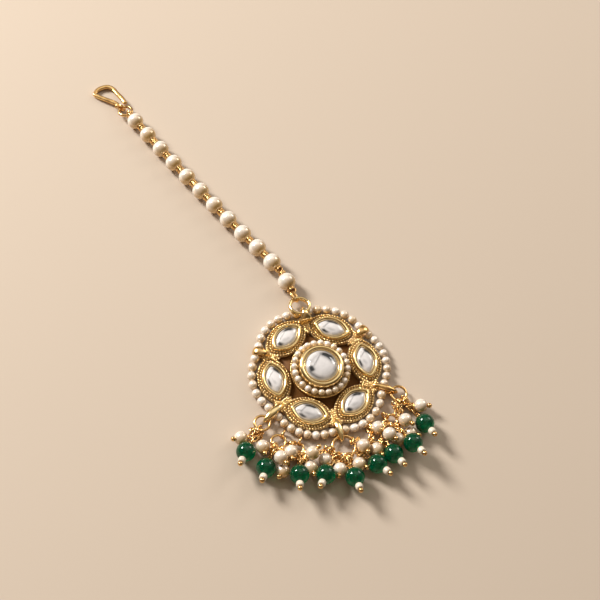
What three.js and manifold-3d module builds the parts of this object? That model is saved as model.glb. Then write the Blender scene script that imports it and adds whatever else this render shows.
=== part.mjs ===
// Maang tikka, a forehead jewel lying on a table: a round pendant of glass stones in gold
// settings edged with pearls, a chain of pearls on eye pins that ends in a hair hook, and a
// fringe of small pearls and green beads on head pins.
// Millimetres. +Z rises out of the pendant's face, +Y runs from the pendant to the hook, and
// the origin is the middle of the pendant's flat back, on the surface that it lies on.
import * as THREE from "three";
import { mergeVertices } from "three/addons/utils/BufferGeometryUtils.js";
import Module from "manifold-3d";

// The six pointed-oval settings around the middle
const settingCount = 6;
const settingRing = 12; // from the pendant's middle to each setting's middle
const settingWidth = 8.4;
const settingHeight = 1.6;
const settingTipGap = 1.2; // between the points of two neighbours
const ledgeWidth = 1.05; // beaded ledge between the setting's edge and the collar
const ledgeAtTips = 1.4;
const collarHeight = 1.0;
const collarWall = 1.0; // smooth collar that rolls over the stone
const collarAtTips = 1.4;
const collarBevel = 0.3;
const collarSink = 0.2; // how far the collar reaches down into its setting
const marquiseSeatDepth = 1.0;
const marquiseCrown = 0.6; // height of the stone above its collar

// The back plate, which carries the settings and closes the gaps between them
const plateHeight = 0.5;
const plateReach = 0.8; // how far it reaches past the middles of the pointed settings

// The raised round setting in the middle
const stepRadius = 7.5; // carries the ring of small pearls
const stepHeight = 2.3;
const centreCollarRadius = 5.6;
const centreCollarTop = 5.0;
const centreStoneRadius = 4.1;
const centreSeatDepth = 1.4;
const centreCrown = 0.6;
const centreFacets = [
  { radius: 0.82, rise: 0.55 },
  { radius: 0.5, rise: 1 },
]; // shares of the stone's radius and of its crown where its face turns
const stoneClearance = 0.16;

// Small pearls sewn round the middle and round the edge
const centrePearlCount = 24;
const centrePearlClearance = 0.12;
const centreThreadGap = 0.6; // between the two ends of the ring's thread
const edgePearlSize = 2.26; // across, square to the thread
const edgeScallop = 1.3; // how far the edge pearls swing in at each junction
const edgeStrings = [
  { facing: 0, pearls: 8 },
  { facing: 60, pearls: 7 },
  { facing: 120, pearls: 7 },
  { facing: 180, pearls: 7 },
  { facing: 240, pearls: 8 },
  { facing: 300, pearls: 7 },
];
const threadRadius = 0.2;
const pearlShoulders = [0.22, 0.78]; // shares of a strung pearl's length where its facets turn
const pieceGap = 0.12;
const linkGap = 0.5; // between a ring and the loop that it passes through

// Oval loops soldered at the junctions of the settings
const bossRadius = 1.0;
const bossOffset = 0.1; // how far out of the settings' points the boss stands
const bossHeight = 1.8;
const loopWire = 0.76;
const loopHalfHeight = 1.05;
const hangLoopLength = 5.0;
const hangLoops = [
  { facing: 90, length: 0.64, height: 1.8 },
  { facing: 30, length: 0.8, height: 1 },
  { facing: -30, length: 1.25, height: 1 },
  { facing: -90, length: 1.1, height: 1 },
  { facing: -150, length: 1.25, height: 1 },
  { facing: 150, length: 0.8, height: 1 },
];

// The chain of pearls
const chainPearlDiameter = 4.1;
const chainBoreRadius = 0.3;
const eyeWire = 0.28;
const eyeRadius = 0.4; // to the middle of the wire
const eyeToPearl = 0.03;
const eyeSpacing = 0.4; // between the middles of two linked eyes
const lastEyeRadius = 0.62; // the eyes at both ends of the chain
const spareEyeRadius = 0.47; // the eyes on both sides of the spare link
const spareLinkRadius = 0.7;
const spareLinkSpacing = 0.7;
const topRingSwing = 9; // degrees that the top ring leans to -X about its loop
const topRingRadius = 2.45;
const topRingWire = 0.8;
const endLinkHalfLength = 1.5;
const endLinkHalfWidth = 1.02;
const endLinkWire = 0.42;

// The chain's route: how far each pearl leans to -X, in degrees, from the pendant to the hook
const chainLeans = [12, 27, 29, 28.5, 27.5, 26.5, 26.5, 26.5, 26, 25, 25, 24.5];

// The hair hook and its ring
const hookWire = 1.1;
const hookLength = 8;
const hookWidth = 5;
const hookEyeRadius = 0.95;
const hookEyeWire = 0.6;
const hookTurn = 27; // the hook's lean past the chain's, in degrees
const hookRingRadius = 1.75;
const hookRingWire = 0.7;

// The fringe
const greenBead = 4.8;
const greenBoreRadius = 0.45;
const dropPearl = 3.4;
const pinWire = 0.5;
const pinStub = 0.6; // bare wire between a bead and the stem that carries it
const seedBead = 1.9;
const seedLength = 1.5;
const pinHead = 1.3;
const ringWire = 0.7;
const stringLink = 1.7; // from the edge pearls to a ring that hangs on their thread
const stemWire = 0.5;

// Rings that carry the drops. A ring on a loop passes through it, and a ring on the thread
// hangs from a short link. across is the ring's mean diameter.
const fringeRings = [
  { name: "left", facing: -150, on: "loop", across: 3.8, swing: 0 },
  { name: "lower_left", facing: -134, on: "thread", across: 3.5, swing: 0 },
  { name: "left_middle", facing: -121, on: "thread", across: 2.9, swing: 0 },
  { name: "bottom", facing: -90, on: "loop", across: 5.6, swing: 0 },
  { name: "right_middle", facing: -67, on: "thread", across: 3.0, swing: 0 },
  { name: "lower_right", facing: -51, on: "thread", across: 2.9, swing: 0 },
  { name: "right", facing: -30, on: "loop", across: 4.6, swing: -8 },
];

// Drops, in green-bead diameters: along the arc round the pendant from their ring's facing, out
// from the edge pearls, and lift above lying on the surface. heading turns the pin from straight
// out, in degrees.
const drops = [
  { ring: "left", bead: "green", along: 0.56, out: 2.2, lift: 0.05, heading: 17 },
  { ring: "left", bead: "pearl", along: -0.16, out: 1.8, lift: 0, heading: -26 },
  { ring: "left", bead: "pearl", along: 0.92, out: 1.4, lift: 0, heading: 48 },
  { ring: "lower_left", bead: "green", along: 0.14, out: 2.3, lift: 0, heading: 11 },
  { ring: "lower_left", bead: "pearl", along: 0.55, out: 1.6, lift: 0.5, heading: 59 },
  { ring: "lower_left", bead: "pearl", along: 0.95, out: 2.05, lift: 0, heading: -12 },
  { ring: "left_middle", bead: "green", along: 0.43, out: 2.1, lift: 0.25, heading: 22 },
  { ring: "left_middle", bead: "pearl", along: -0.26, out: 1.0, lift: 0.15, heading: 24 },
  { ring: "left_middle", bead: "pearl", along: 0.77, out: 0.85, lift: 0.35, heading: 140 },
  { ring: "left_middle", bead: "pearl", along: 0.91, out: 1.5, lift: 0, heading: 25 },
  { ring: "bottom", bead: "green", along: -1.4, out: 1.9, lift: 0.15, heading: -24 },
  { ring: "bottom", bead: "green", along: 0, out: 2.2, lift: 0.15, heading: 13 },
  { ring: "bottom", bead: "green", along: 1.35, out: 1.95, lift: 0.1, heading: 37 },
  { ring: "bottom", bead: "pearl", along: -1.15, out: 1.05, lift: 0, heading: 20 },
  { ring: "bottom", bead: "pearl", along: -0.55, out: 1.6, lift: 0, heading: -24 },
  { ring: "bottom", bead: "pearl", along: 0.5, out: 1.55, lift: 0, heading: 38 },
  { ring: "bottom", bead: "pearl", along: 0.95, out: 0.8, lift: 0.2, heading: 0 },
  { ring: "right_middle", bead: "green", along: 0.06, out: 1.95, lift: 0.05, heading: 25 },
  { ring: "right_middle", bead: "pearl", along: -0.41, out: 1.25, lift: 0, heading: 3 },
  { ring: "right_middle", bead: "pearl", along: 0.39, out: 0.4, lift: 0, heading: 20 },
  { ring: "lower_right", bead: "green", along: -0.57, out: 2.25, lift: 0.35, heading: 11 },
  { ring: "lower_right", bead: "pearl", along: -0.93, out: 1.1, lift: 0.5, heading: 1 },
  { ring: "lower_right", bead: "pearl", along: -0.69, out: 1.55, lift: 0, heading: 5 },
  { ring: "right", bead: "green", along: -1.36, out: 2.2, lift: 0, heading: -4 },
  { ring: "right", bead: "pearl", along: -1.61, out: 1.25, lift: 0.4, heading: -5 },
  { ring: "right", bead: "pearl", along: -2.09, out: 1.85, lift: 0, heading: 16 },
  { ring: "right", bead: "pearl", along: -0.38, out: 1.7, lift: 0, heading: 11 },
];
const greenDroop = 14; // degrees that a pin slopes down to its head
const pearlDroop = 18;

// Sizes that follow from the ones above
const halfPitch = Math.PI / settingCount;
const settingLength = 2 * settingRing * Math.tan(halfPitch) - settingTipGap;
const collarLength = settingLength - 2 * ledgeAtTips;
const collarWidth = settingWidth - 2 * ledgeWidth;
const stoneLength = collarLength - 2 * collarAtTips;
const stoneWidth = collarWidth - 2 * collarWall;
const collarTop = settingHeight + collarHeight;
const plateRadius = settingRing + plateReach;
const centrePearl = stepRadius - centreCollarRadius - 2 * centrePearlClearance;
const centrePearlRing = centreCollarRadius + centrePearlClearance + centrePearl / 2;
const edgeRing = settingRing + settingWidth / 2 + edgePearlSize / 2 + pieceGap;
const edgeRadius = edgeRing + edgePearlSize / 2;
const edgeLift = edgePearlSize / 2;
const bossRing = Math.hypot(settingRing, settingLength / 2) + bossOffset;
const loopLift = loopHalfHeight + loopWire / 2;

const wasm = await Module();
wasm.setup();

const UP = new THREE.Vector3(0, 0, 1);
const toRadians = THREE.MathUtils.degToRad;

// Closed solids from geometries, and back
function solidOf(geometry) {
  const bare = geometry.clone();
  for (const name of ["normal", "uv"]) bare.deleteAttribute(name);
  const welded = mergeVertices(bare, 1e-4);
  const vertProperties = new Float32Array(welded.attributes.position.array);
  const triVerts = new Uint32Array(welded.index.array);
  return new wasm.Manifold(new wasm.Mesh({ numProp: 3, vertProperties, triVerts }));
}

function geometryOf(solid) {
  const { vertProperties, triVerts } = solid.getMesh();
  const geometry = new THREE.BufferGeometry();
  geometry.setAttribute("position", new THREE.BufferAttribute(vertProperties, 3));
  geometry.setIndex(new THREE.BufferAttribute(triVerts, 1));
  geometry.computeVertexNormals();
  return geometry;
}

function join(geometries) {
  return geometryOf(geometries.map(solidOf).reduce((sum, next) => sum.add(next)));
}

function cut(geometry, tool) {
  return geometryOf(solidOf(geometry).subtract(solidOf(tool)));
}

// A geometry whose long axis is +Y, carried to a point with that axis along a direction
function aimed(geometry, point, direction) {
  const turn = new THREE.Quaternion().setFromUnitVectors(
    new THREE.Vector3(0, 1, 0),
    direction.clone().normalize(),
  );
  return geometry
    .clone()
    .applyQuaternion(turn)
    .translate(point.x, point.y, point.z);
}

function polar(radius, degrees, z = 0) {
  const angle = toRadians(degrees);
  return new THREE.Vector3(radius * Math.cos(angle), radius * Math.sin(angle), z);
}

// Closed curves for rings and oval loops
class Oval extends THREE.Curve {
  constructor(halfLength, halfHeight) {
    super();
    this.halfLength = halfLength;
    this.halfHeight = halfHeight;
  }

  getPoint(t, target = new THREE.Vector3()) {
    const angle = 2 * Math.PI * t;
    return target.set(this.halfLength * Math.cos(angle), this.halfHeight * Math.sin(angle), 0);
  }
}

// A ring lying in the XY plane, and an oval one
function ring(radius, wire, steps = 16, sides = 5) {
  return new THREE.TorusGeometry(radius, wire / 2, sides, steps);
}

function ovalRing(halfLength, halfHeight, wire, steps = 14, sides = 5) {
  return new THREE.TubeGeometry(new Oval(halfLength, halfHeight), steps, wire / 2, sides, true);
}

// A wire with closed ends along an open curve
function wireAlong(curve, wire, steps, sides = 6) {
  const section = new THREE.Shape();
  for (let i = 0; i < sides; i += 1) {
    const angle = (2 * Math.PI * i) / sides;
    const x = (wire / 2) * Math.cos(angle);
    const y = (wire / 2) * Math.sin(angle);
    if (i === 0) section.moveTo(x, y);
    else section.lineTo(x, y);
  }
  return new THREE.ExtrudeGeometry(section, { extrudePath: curve, steps, bevelEnabled: false });
}

// A turned piece about +Y from [radius, height] pairs
function turned(profile, sides) {
  return new THREE.LatheGeometry(
    profile.map(([x, y]) => new THREE.Vector2(x, y)),
    sides,
  );
}

// A pointed oval: two arcs that meet at its tips on the X axis
function pointedOval(length, width) {
  const a = length / 2;
  const b = width / 2;
  const radius = (a * a + b * b) / (2 * b);
  const spread = Math.asin(a / radius);
  const top = Math.PI / 2;
  const shape = new THREE.Shape();
  shape.absarc(0, radius - b, radius, -top - spread, -top + spread, false);
  shape.absarc(0, b - radius, radius, top - spread, top + spread, false);
  return shape;
}

// The bevel's mitre reaches further at the tips, where the arcs meet at twice this angle
function tipAngle(length, width) {
  return 2 * Math.atan(width / length);
}

function pointedBlock(length, width, from, to, bevel = 0) {
  const shorter = (2 * bevel) / Math.sin(tipAngle(length, width));
  const block = new THREE.ExtrudeGeometry(pointedOval(length - shorter, width - 2 * bevel), {
    depth: to - from - 2 * bevel,
    curveSegments: 4,
    bevelEnabled: bevel > 0,
    bevelThickness: bevel,
    bevelSize: bevel,
    bevelSegments: 1,
  });
  return block.translate(0, 0, from + bevel);
}

// A string of touching pearls on its thread, turned straight and then bent along a curve
function pearlString(curve, count, pearlSize, sides = 6) {
  const length = curve.getLength();
  const pitch = length / count;
  const profile = [[0, 0]];
  for (let i = 0; i < count; i += 1) {
    const start = i * pitch;
    profile.push([threadRadius, start]);
    for (const share of pearlShoulders) {
      const height = Math.sqrt(1 - (2 * share - 1) ** 2);
      profile.push([(height * pearlSize) / 2, start + share * pitch]);
    }
  }
  profile.push([threadRadius, length], [0, length]);
  const geometry = turned(profile, sides);
  const place = geometry.attributes.position;
  const side = new THREE.Vector3();
  for (let i = 0; i < place.count; i += 1) {
    const t = THREE.MathUtils.clamp(place.getY(i) / length, 0, 1);
    const point = curve.getPointAt(t);
    side.crossVectors(curve.getTangentAt(t), UP);
    point.addScaledVector(side, place.getX(i)).addScaledVector(UP, place.getZ(i));
    place.setXYZ(i, point.x, point.y, point.z);
  }
  return geometry;
}

// Route of the edge pearls outside one setting: a circle that swings in towards both ends
class EdgeRoute extends THREE.Curve {
  constructor(halfSpan) {
    super();
    this.halfSpan = halfSpan;
  }

  getPoint(t, target = new THREE.Vector3()) {
    const angle = (2 * t - 1) * this.halfSpan;
    const radius = edgeRing - edgeScallop * (angle / halfPitch) ** 2;
    return target.set(radius * Math.cos(angle), radius * Math.sin(angle), edgeLift);
  }
}

class Arc extends THREE.Curve {
  constructor(radius, from, to) {
    super();
    this.radius = radius;
    this.from = from;
    this.to = to;
  }

  getPoint(t, target = new THREE.Vector3()) {
    const angle = THREE.MathUtils.lerp(this.from, this.to, t);
    return target.set(this.radius * Math.cos(angle), this.radius * Math.sin(angle), 0);
  }
}

const materials = {
  gold: new THREE.MeshStandardMaterial({ color: 0xd9a441, roughness: 0.28, metalness: 1 }),
  glass: new THREE.MeshStandardMaterial({ color: 0xe4e6e8, roughness: 0.06, metalness: 0.35 }),
  pearl: new THREE.MeshStandardMaterial({ color: 0xf3eadb, roughness: 0.25, metalness: 0 }),
  green: new THREE.MeshStandardMaterial({ color: 0x045a36, roughness: 0.08, metalness: 0 }),
};

const root = new THREE.Group();

function addMesh(parent, name, geometry, material) {
  const mesh = new THREE.Mesh(geometry, material);
  mesh.name = name;
  parent.add(mesh);
  return mesh;
}

// The middle of the frame: the back plate, a step for the pearls, and a collar with the
// stone's seat
function centreSetting() {
  const seatRadius = centreStoneRadius + stoneClearance;
  const seatFloor = centreCollarTop - centreSeatDepth;
  return turned(
    [
      [0, 0],
      [plateRadius, 0],
      [plateRadius, plateHeight],
      [stepRadius, plateHeight],
      [stepRadius, stepHeight],
      [centreCollarRadius, stepHeight],
      [centreCollarRadius, centreCollarTop - collarBevel],
      [centreCollarRadius - collarBevel, centreCollarTop],
      [seatRadius + collarBevel, centreCollarTop],
      [seatRadius, centreCollarTop - collarBevel],
      [seatRadius, seatFloor],
      [0, seatFloor],
    ],
    28,
  ).rotateX(Math.PI / 2);
}

function pointedSetting() {
  const clearance = 2 * stoneClearance;
  const body = join([
    pointedBlock(settingLength, settingWidth, 0, settingHeight),
    pointedBlock(collarLength, collarWidth, settingHeight - collarSink, collarTop, collarBevel),
  ]);
  const seatFloor = collarTop - marquiseSeatDepth;
  return cut(
    body,
    pointedBlock(stoneLength + clearance, stoneWidth + clearance, seatFloor, collarTop + 1),
  );
}

function hangLoop(length, halfHeight) {
  return ovalRing(length / 2, halfHeight, loopWire, 12)
    .rotateX(Math.PI / 2)
    .translate(bossRing + length / 2, 0, halfHeight + loopWire / 2);
}

function pendantFrame() {
  const setting = pointedSetting()
    .rotateZ(Math.PI / 2)
    .translate(settingRing, 0, 0);
  const boss = new THREE.CylinderGeometry(bossRadius, bossRadius, bossHeight, 10)
    .rotateX(Math.PI / 2)
    .translate(bossRing, 0, bossHeight / 2);
  const pieces = [centreSetting()];
  for (let i = 0; i < settingCount; i += 1) {
    const angle = 2 * halfPitch * i;
    pieces.push(setting.clone().rotateZ(angle));
    pieces.push(boss.clone().rotateZ(angle + halfPitch));
  }
  for (const { facing, length, height } of hangLoops) {
    const loop = hangLoop(length * hangLoopLength, height * loopHalfHeight);
    pieces.push(loop.rotateZ(toRadians(facing)));
  }
  return join(pieces);
}

function addPendant() {
  addMesh(root, "pendant_frame", pendantFrame(), materials.gold);

  const floor = centreCollarTop - centreSeatDepth + stoneClearance;
  const girdle = centreCollarTop - collarBevel;
  const centreStone = turned(
    [
      [0, floor],
      [centreStoneRadius, floor],
      [centreStoneRadius, girdle],
      ...centreFacets.map(({ radius, rise }) => [
        radius * centreStoneRadius,
        centreCollarTop + rise * centreCrown,
      ]),
      [0, centreCollarTop + centreCrown],
    ],
    20,
  ).rotateX(Math.PI / 2);
  addMesh(root, "centre_stone", centreStone, materials.glass);

  const opening = (centreThreadGap / 2 + threadRadius) / centrePearlRing;
  const around = new Arc(centrePearlRing, halfPitch + opening, halfPitch + 2 * Math.PI - opening);
  const centrePearls = addMesh(
    root,
    "centre_pearl_ring",
    pearlString(around, centrePearlCount, centrePearl),
    materials.pearl,
  );
  centrePearls.position.z = stepHeight + centrePearl / 2 + centrePearlClearance;

  const stoneFloor = collarTop - marquiseSeatDepth + stoneClearance;
  const stone = pointedBlock(
    stoneLength,
    stoneWidth,
    stoneFloor,
    collarTop + marquiseCrown,
    marquiseCrown,
  );
  for (let i = 0; i < settingCount; i += 1) {
    const arm = new THREE.Group();
    arm.rotation.z = 2 * halfPitch * i;
    root.add(arm);
    const mesh = addMesh(arm, "marquise_stone_" + (i + 1), stone.clone(), materials.glass);
    mesh.position.x = settingRing;
    mesh.rotation.z = Math.PI / 2;
  }

  // Each string stops short of the loops on both sides of it
  const clearance = (loopWire / 2 + pieceGap) / (edgeRing - edgeScallop);
  const route = new EdgeRoute(halfPitch - clearance);
  edgeStrings.forEach(({ facing, pearls }, i) => {
    const string = addMesh(
      root,
      "edge_pearl_string_" + (i + 1),
      pearlString(route, pearls, edgePearlSize),
      materials.pearl,
    );
    string.rotation.z = toRadians(facing);
  });
}

// A bead or pearl bored along +Y
function boredBead(diameter, boreRadius, sides) {
  const radius = diameter / 2;
  const pole = Math.sqrt(radius * radius - boreRadius * boreRadius);
  const profile = [[boreRadius, -pole]];
  const from = Math.asin(pole / radius);
  const rows = 4;
  for (let i = 1; i <= rows; i += 1) {
    const angle = THREE.MathUtils.lerp(-from, from, i / (rows + 1));
    profile.push([radius * Math.cos(angle), radius * Math.sin(angle)]);
  }
  profile.push([boreRadius, pole], [boreRadius, -pole]);
  return turned(profile, sides);
}

// From the middle of a pearl to the middle of an eye of its pin
function eyeMiddle(radius) {
  return chainPearlDiameter / 2 + eyeToPearl + eyeWire / 2 + radius;
}

// An eye pin along +Y with its pearl's middle at the origin. The eye at the pendant's end
// lies flat and the one at the hook's end stands upright.
function eyePin(nearRadius, farRadius) {
  const near = ring(nearRadius, eyeWire, 8, 4).translate(0, -eyeMiddle(nearRadius), 0);
  const far = ring(farRadius, eyeWire, 8, 4)
    .rotateY(Math.PI / 2)
    .translate(0, eyeMiddle(farRadius), 0);
  const from = nearRadius - eyeMiddle(nearRadius);
  const to = eyeMiddle(farRadius) - farRadius;
  const shaft = new THREE.CylinderGeometry(eyeWire / 2, eyeWire / 2, to - from, 4)
    .translate(0, (from + to) / 2, 0);
  return join([near, shaft, far]);
}

// The top ring passes through its loop above the edge pearls and slopes down to the chain
const topRingLift = edgePearlSize + topRingWire / 2 + pieceGap;
const topLoopEnd = bossRing + hangLoops[0].length * hangLoopLength;
const topRingNear = topLoopEnd - (loopWire + topRingWire) / 2 - linkGap;
const chainLift = chainPearlDiameter / 2;

// Radii of the two eyes of a pearl's pin
function eyesOf(i) {
  const ends = { 0: lastEyeRadius, [chainLeans.length]: lastEyeRadius, 1: spareEyeRadius };
  return { near: ends[i] ?? eyeRadius, far: ends[i + 1] ?? eyeRadius };
}

// Stations of the chain outwards from the far side of the top ring, each with its place and lean
function chainStations() {
  const stations = { pearls: [] };
  const place = polar(topRingNear, 90, chainLift);
  place.add(polar(2 * topRingRadius, 90 + topRingSwing));
  const step = (distance, lean) => {
    place.addScaledVector(polar(1, 90 + lean), distance);
    return { point: place.clone(), lean };
  };
  const inRing = (topRingWire + endLinkWire) / 2 + pieceGap;
  const inLink = (endLinkWire + eyeWire) / 2 + pieceGap;
  const last = chainLeans.length - 1;
  stations.endLink = step(endLinkHalfLength - inRing, topRingSwing);
  step(endLinkHalfLength - inLink + lastEyeRadius, topRingSwing);
  chainLeans.forEach((lean, i) => {
    const { near, far } = eyesOf(i);
    stations.pearls.push(step(eyeMiddle(near), lean));
    stations.end = step(eyeMiddle(far), lean);
    if (i === 0) {
      const between = (lean + chainLeans[1]) / 2;
      stations.spareLink = step(spareLinkSpacing, between);
      step(spareLinkSpacing, between);
    } else if (i < last) {
      step(eyeSpacing, (lean + chainLeans[i + 1]) / 2);
    }
  });
  return stations;
}

function addTopRing() {
  const topRing = addMesh(
    root,
    "top_jump_ring",
    ring(topRingRadius, topRingWire, 18, 5),
    materials.gold,
  );
  const rise = chainLift - topRingLift;
  const middle = polar(topRingNear, 90, topRingLift + rise / 2);
  topRing.position.copy(middle.add(polar(topRingRadius, 90 + topRingSwing)));
  topRing.rotation.order = "ZYX";
  topRing.rotation.z = toRadians(topRingSwing);
  topRing.rotation.x = Math.asin(rise / (2 * topRingRadius));
}

function addChain(stations) {
  const pearl = boredBead(chainPearlDiameter, chainBoreRadius, 11);
  stations.pearls.forEach(({ point, lean }, i) => {
    const number = String(i + 1).padStart(2, "0");
    const seat = new THREE.Group();
    seat.position.copy(point);
    seat.rotation.z = toRadians(lean);
    root.add(seat);
    const { near, far } = eyesOf(i);
    addMesh(seat, "chain_pearl_" + number, pearl.clone(), materials.pearl);
    addMesh(seat, "chain_eye_pin_" + number, eyePin(near, far), materials.gold);
  });

  // A small loose ring between the first two pearls, halfway between flat and upright
  const spare = addMesh(root, "spare_link", ring(spareLinkRadius, eyeWire, 10, 4), materials.gold);
  spare.geometry.rotateY(Math.PI / 4);
  spare.position.copy(stations.spareLink.point);
  spare.rotation.z = toRadians(stations.spareLink.lean);

  // An upright oval link between the chain and the top ring
  const endLink = ovalRing(endLinkHalfWidth, endLinkHalfLength, endLinkWire, 12, 4);
  endLink.rotateY(Math.PI / 2);
  const link = addMesh(root, "chain_end_link", endLink, materials.gold);
  link.position.copy(stations.endLink.point);
  link.rotation.z = toRadians(stations.endLink.lean);
}

// The hook along +X from its eye, in shares of its length and width: a straight arm, a tight
// turn, a round bend, and an arm that returns almost to the ring
const hookRoute = [
  { along: 0, across: 0 },
  { along: 0.18, across: 0.13 },
  { along: 0.88, across: 0.15 },
  { along: 0.99, across: 0.3 },
  { along: 0.97, across: 0.58 },
  { along: 0.88, across: 0.8 },
  { along: 0.72, across: 0.98 },
  { along: 0.51, across: 0.96 },
  { along: 0.29, across: 0.76 },
  { along: 0.04, across: 0.57 },
  { along: -0.12, across: 0.39 },
];

function hairHook() {
  const route = new THREE.CatmullRomCurve3(
    hookRoute.map(({ along, across }) => {
      const x = hookEyeRadius + along * hookLength;
      return new THREE.Vector3(x, -across * hookWidth, 0);
    }),
  );
  const arm = wireAlong(route, hookWire, 30, 6);
  const eye = ring(hookEyeRadius, hookEyeWire, 12, 5).rotateX(Math.PI / 2);
  return join([eye, arm]);
}

// The hook's ring slopes down from the last eye of the chain to the eye of the hook
function addHook({ point, lean }) {
  const seat = new THREE.Group();
  seat.position.set(point.x, point.y, 0);
  seat.rotation.z = toRadians(lean);
  root.add(seat);
  const hookLift = hookEyeRadius + hookEyeWire / 2;
  const fall = chainLift - hookLift;
  const slope = Math.asin(fall / (2 * hookRingRadius));
  const span = hookRingRadius * Math.cos(slope);
  const hookRing = addMesh(
    seat,
    "hook_ring",
    ring(hookRingRadius, hookRingWire, 16, 5),
    materials.gold,
  );
  hookRing.position.set(0, span, chainLift - fall / 2);
  hookRing.rotation.x = -slope;
  const hook = addMesh(seat, "hair_hook", hairHook(), materials.gold);
  hook.position.set(0, 2 * span, hookLift);
  hook.rotation.order = "ZYX";
  hook.rotation.z = toRadians(90 + hookTurn);
  hook.rotation.y = Math.atan((hookLift - hookWire / 2) / (hookEyeRadius + hookLength));
}

// Rings of the fringe
function fringeRingPlace({ facing, on, across, swing }) {
  const radius = across / 2;
  if (on === "loop") {
    const loop = hangLoops.find((row) => row.facing === facing);
    const loopEnd = bossRing + loop.length * hangLoopLength;
    const hole = loopEnd - (loopWire + ringWire) / 2 - linkGap;
    const point = polar(hole, facing, loopLift);
    return point.add(polar(radius, facing + swing));
  }
  return polar(edgeRadius + stringLink + radius, facing, loopLift);
}

function dropPlace({ bead, along, out, lift, heading }, ringFacing) {
  const reach = edgeRadius + out * greenBead;
  const facing = ringFacing + THREE.MathUtils.radToDeg((along * greenBead) / reach);
  const radius = (bead === "green" ? greenBead : dropPearl) / 2;
  const point = polar(reach, facing, radius + lift * greenBead);
  const droop = toRadians(bead === "green" ? greenDroop : pearlDroop);
  const direction = polar(Math.cos(droop), facing + heading, -Math.sin(droop));
  return { point, direction, radius };
}

// A small ball from its foot to its tip, as rings at equal angles around it
function ballProfile(from, length, width, angles) {
  return angles.map((angle) => [
    (width / 2) * Math.cos(toRadians(angle)),
    from + (length / 2) * (1 + Math.sin(toRadians(angle))),
  ]);
}

function headProfile(from) {
  return [...ballProfile(from, pinHead, pinHead, [-30, 30]), [0, from + pinHead]];
}

function greenPin() {
  const wire = pinWire / 2;
  const radius = greenBead / 2;
  const seat = radius + pieceGap;
  return turned(
    [
      [0, -radius - pinStub],
      [wire, -radius - pinStub],
      [wire, seat],
      ...ballProfile(seat, seedLength, seedBead, [-45, 0, 45]),
      [wire, seat + seedLength],
      ...headProfile(seat + seedLength),
    ],
    7,
  );
}

function pearlPin() {
  const wire = pinWire / 2;
  const radius = dropPearl / 2;
  return turned(
    [
      [0, -radius - pinStub],
      [wire, -radius - pinStub],
      ...ballProfile(-radius, dropPearl, dropPearl, [-66, -22, 22, 66]),
      [wire, radius],
      ...headProfile(radius),
    ],
    7,
  );
}

// A stem of wire from the ring to a drop's pin
function stem(ringPoint, ringRadius, pinEnd) {
  const towards = pinEnd.clone().sub(ringPoint).setZ(0).setLength(ringRadius);
  const start = ringPoint.clone().add(towards);
  return wireAlong(new THREE.LineCurve3(start, pinEnd), stemWire, 1, 4);
}

function addFringe() {
  const pinOf = { green: greenPin(), pearl: pearlPin() };
  const bead = boredBead(greenBead, greenBoreRadius, 11);
  let greenCount = 0;
  for (const row of fringeRings) {
    const ringPoint = fringeRingPlace(row);
    const radius = row.across / 2;
    const pieces = [
      ring(radius, ringWire, 14, 4).translate(ringPoint.x, ringPoint.y, ringPoint.z),
    ];
    if (row.on === "thread") {
      const halfLength = stringLink / 2;
      const link = ovalRing(halfLength, loopHalfHeight, stemWire, 10, 4)
        .rotateX(Math.PI / 2)
        .rotateZ(toRadians(row.facing));
      const middle = polar(edgeRadius + halfLength + pieceGap + stemWire / 2, row.facing, loopLift);
      pieces.push(link.translate(middle.x, middle.y, middle.z));
    }
    for (const drop of drops.filter(({ ring: name }) => name === row.name)) {
      const { point, direction, radius: beadRadius } = dropPlace(drop, row.facing);
      pieces.push(aimed(pinOf[drop.bead], point, direction));
      const pinEnd = point.clone().addScaledVector(direction, -beadRadius - pinStub / 2);
      pieces.push(stem(ringPoint, radius, pinEnd));
      if (drop.bead === "green") {
        greenCount += 1;
        addMesh(
          root,
          "green_bead_" + greenCount,
          aimed(bead, point, direction),
          materials.green,
        );
      }
    }
    addMesh(root, "drop_cluster_" + row.name, join(pieces), materials.gold);
  }
}

const stations = chainStations();
addPendant();
addTopRing();
addChain(stations);
addHook(stations.end);
addFringe();

export default root;
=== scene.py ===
"""Looks of the maang tikka: glass stones in beaded gold settings, strung pearls, green drops.

Every length is in metres. +Z rises out of the pendant's face and +Y runs to the hair hook.
"""

import math

import bpy
import numpy as np
from mathutils import Matrix, Vector


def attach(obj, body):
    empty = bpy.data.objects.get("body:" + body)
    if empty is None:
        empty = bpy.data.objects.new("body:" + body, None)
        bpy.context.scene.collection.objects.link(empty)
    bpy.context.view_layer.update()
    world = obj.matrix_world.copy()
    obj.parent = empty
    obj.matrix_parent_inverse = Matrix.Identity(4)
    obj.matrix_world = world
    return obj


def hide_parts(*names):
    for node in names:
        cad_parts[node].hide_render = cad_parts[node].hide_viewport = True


bl_info = {
    "name": "Maang tikka",
    "version": (1, 0, 0),
    "blender": (4, 5, 0),
    "location": "View3D > Sidebar > Tikka",
    "description": "Builds a forehead jewel with its pearl chain, hook and green drops",
    "category": "Object",
}

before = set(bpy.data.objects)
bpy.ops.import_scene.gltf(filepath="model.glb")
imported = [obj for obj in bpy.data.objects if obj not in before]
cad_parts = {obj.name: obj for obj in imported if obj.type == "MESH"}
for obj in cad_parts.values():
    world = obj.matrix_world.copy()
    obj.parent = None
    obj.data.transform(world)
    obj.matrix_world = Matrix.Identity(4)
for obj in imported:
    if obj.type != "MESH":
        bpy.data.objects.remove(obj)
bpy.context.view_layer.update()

MM = 0.001
UP = np.array([0.0, 0.0, 1.0])

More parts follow.
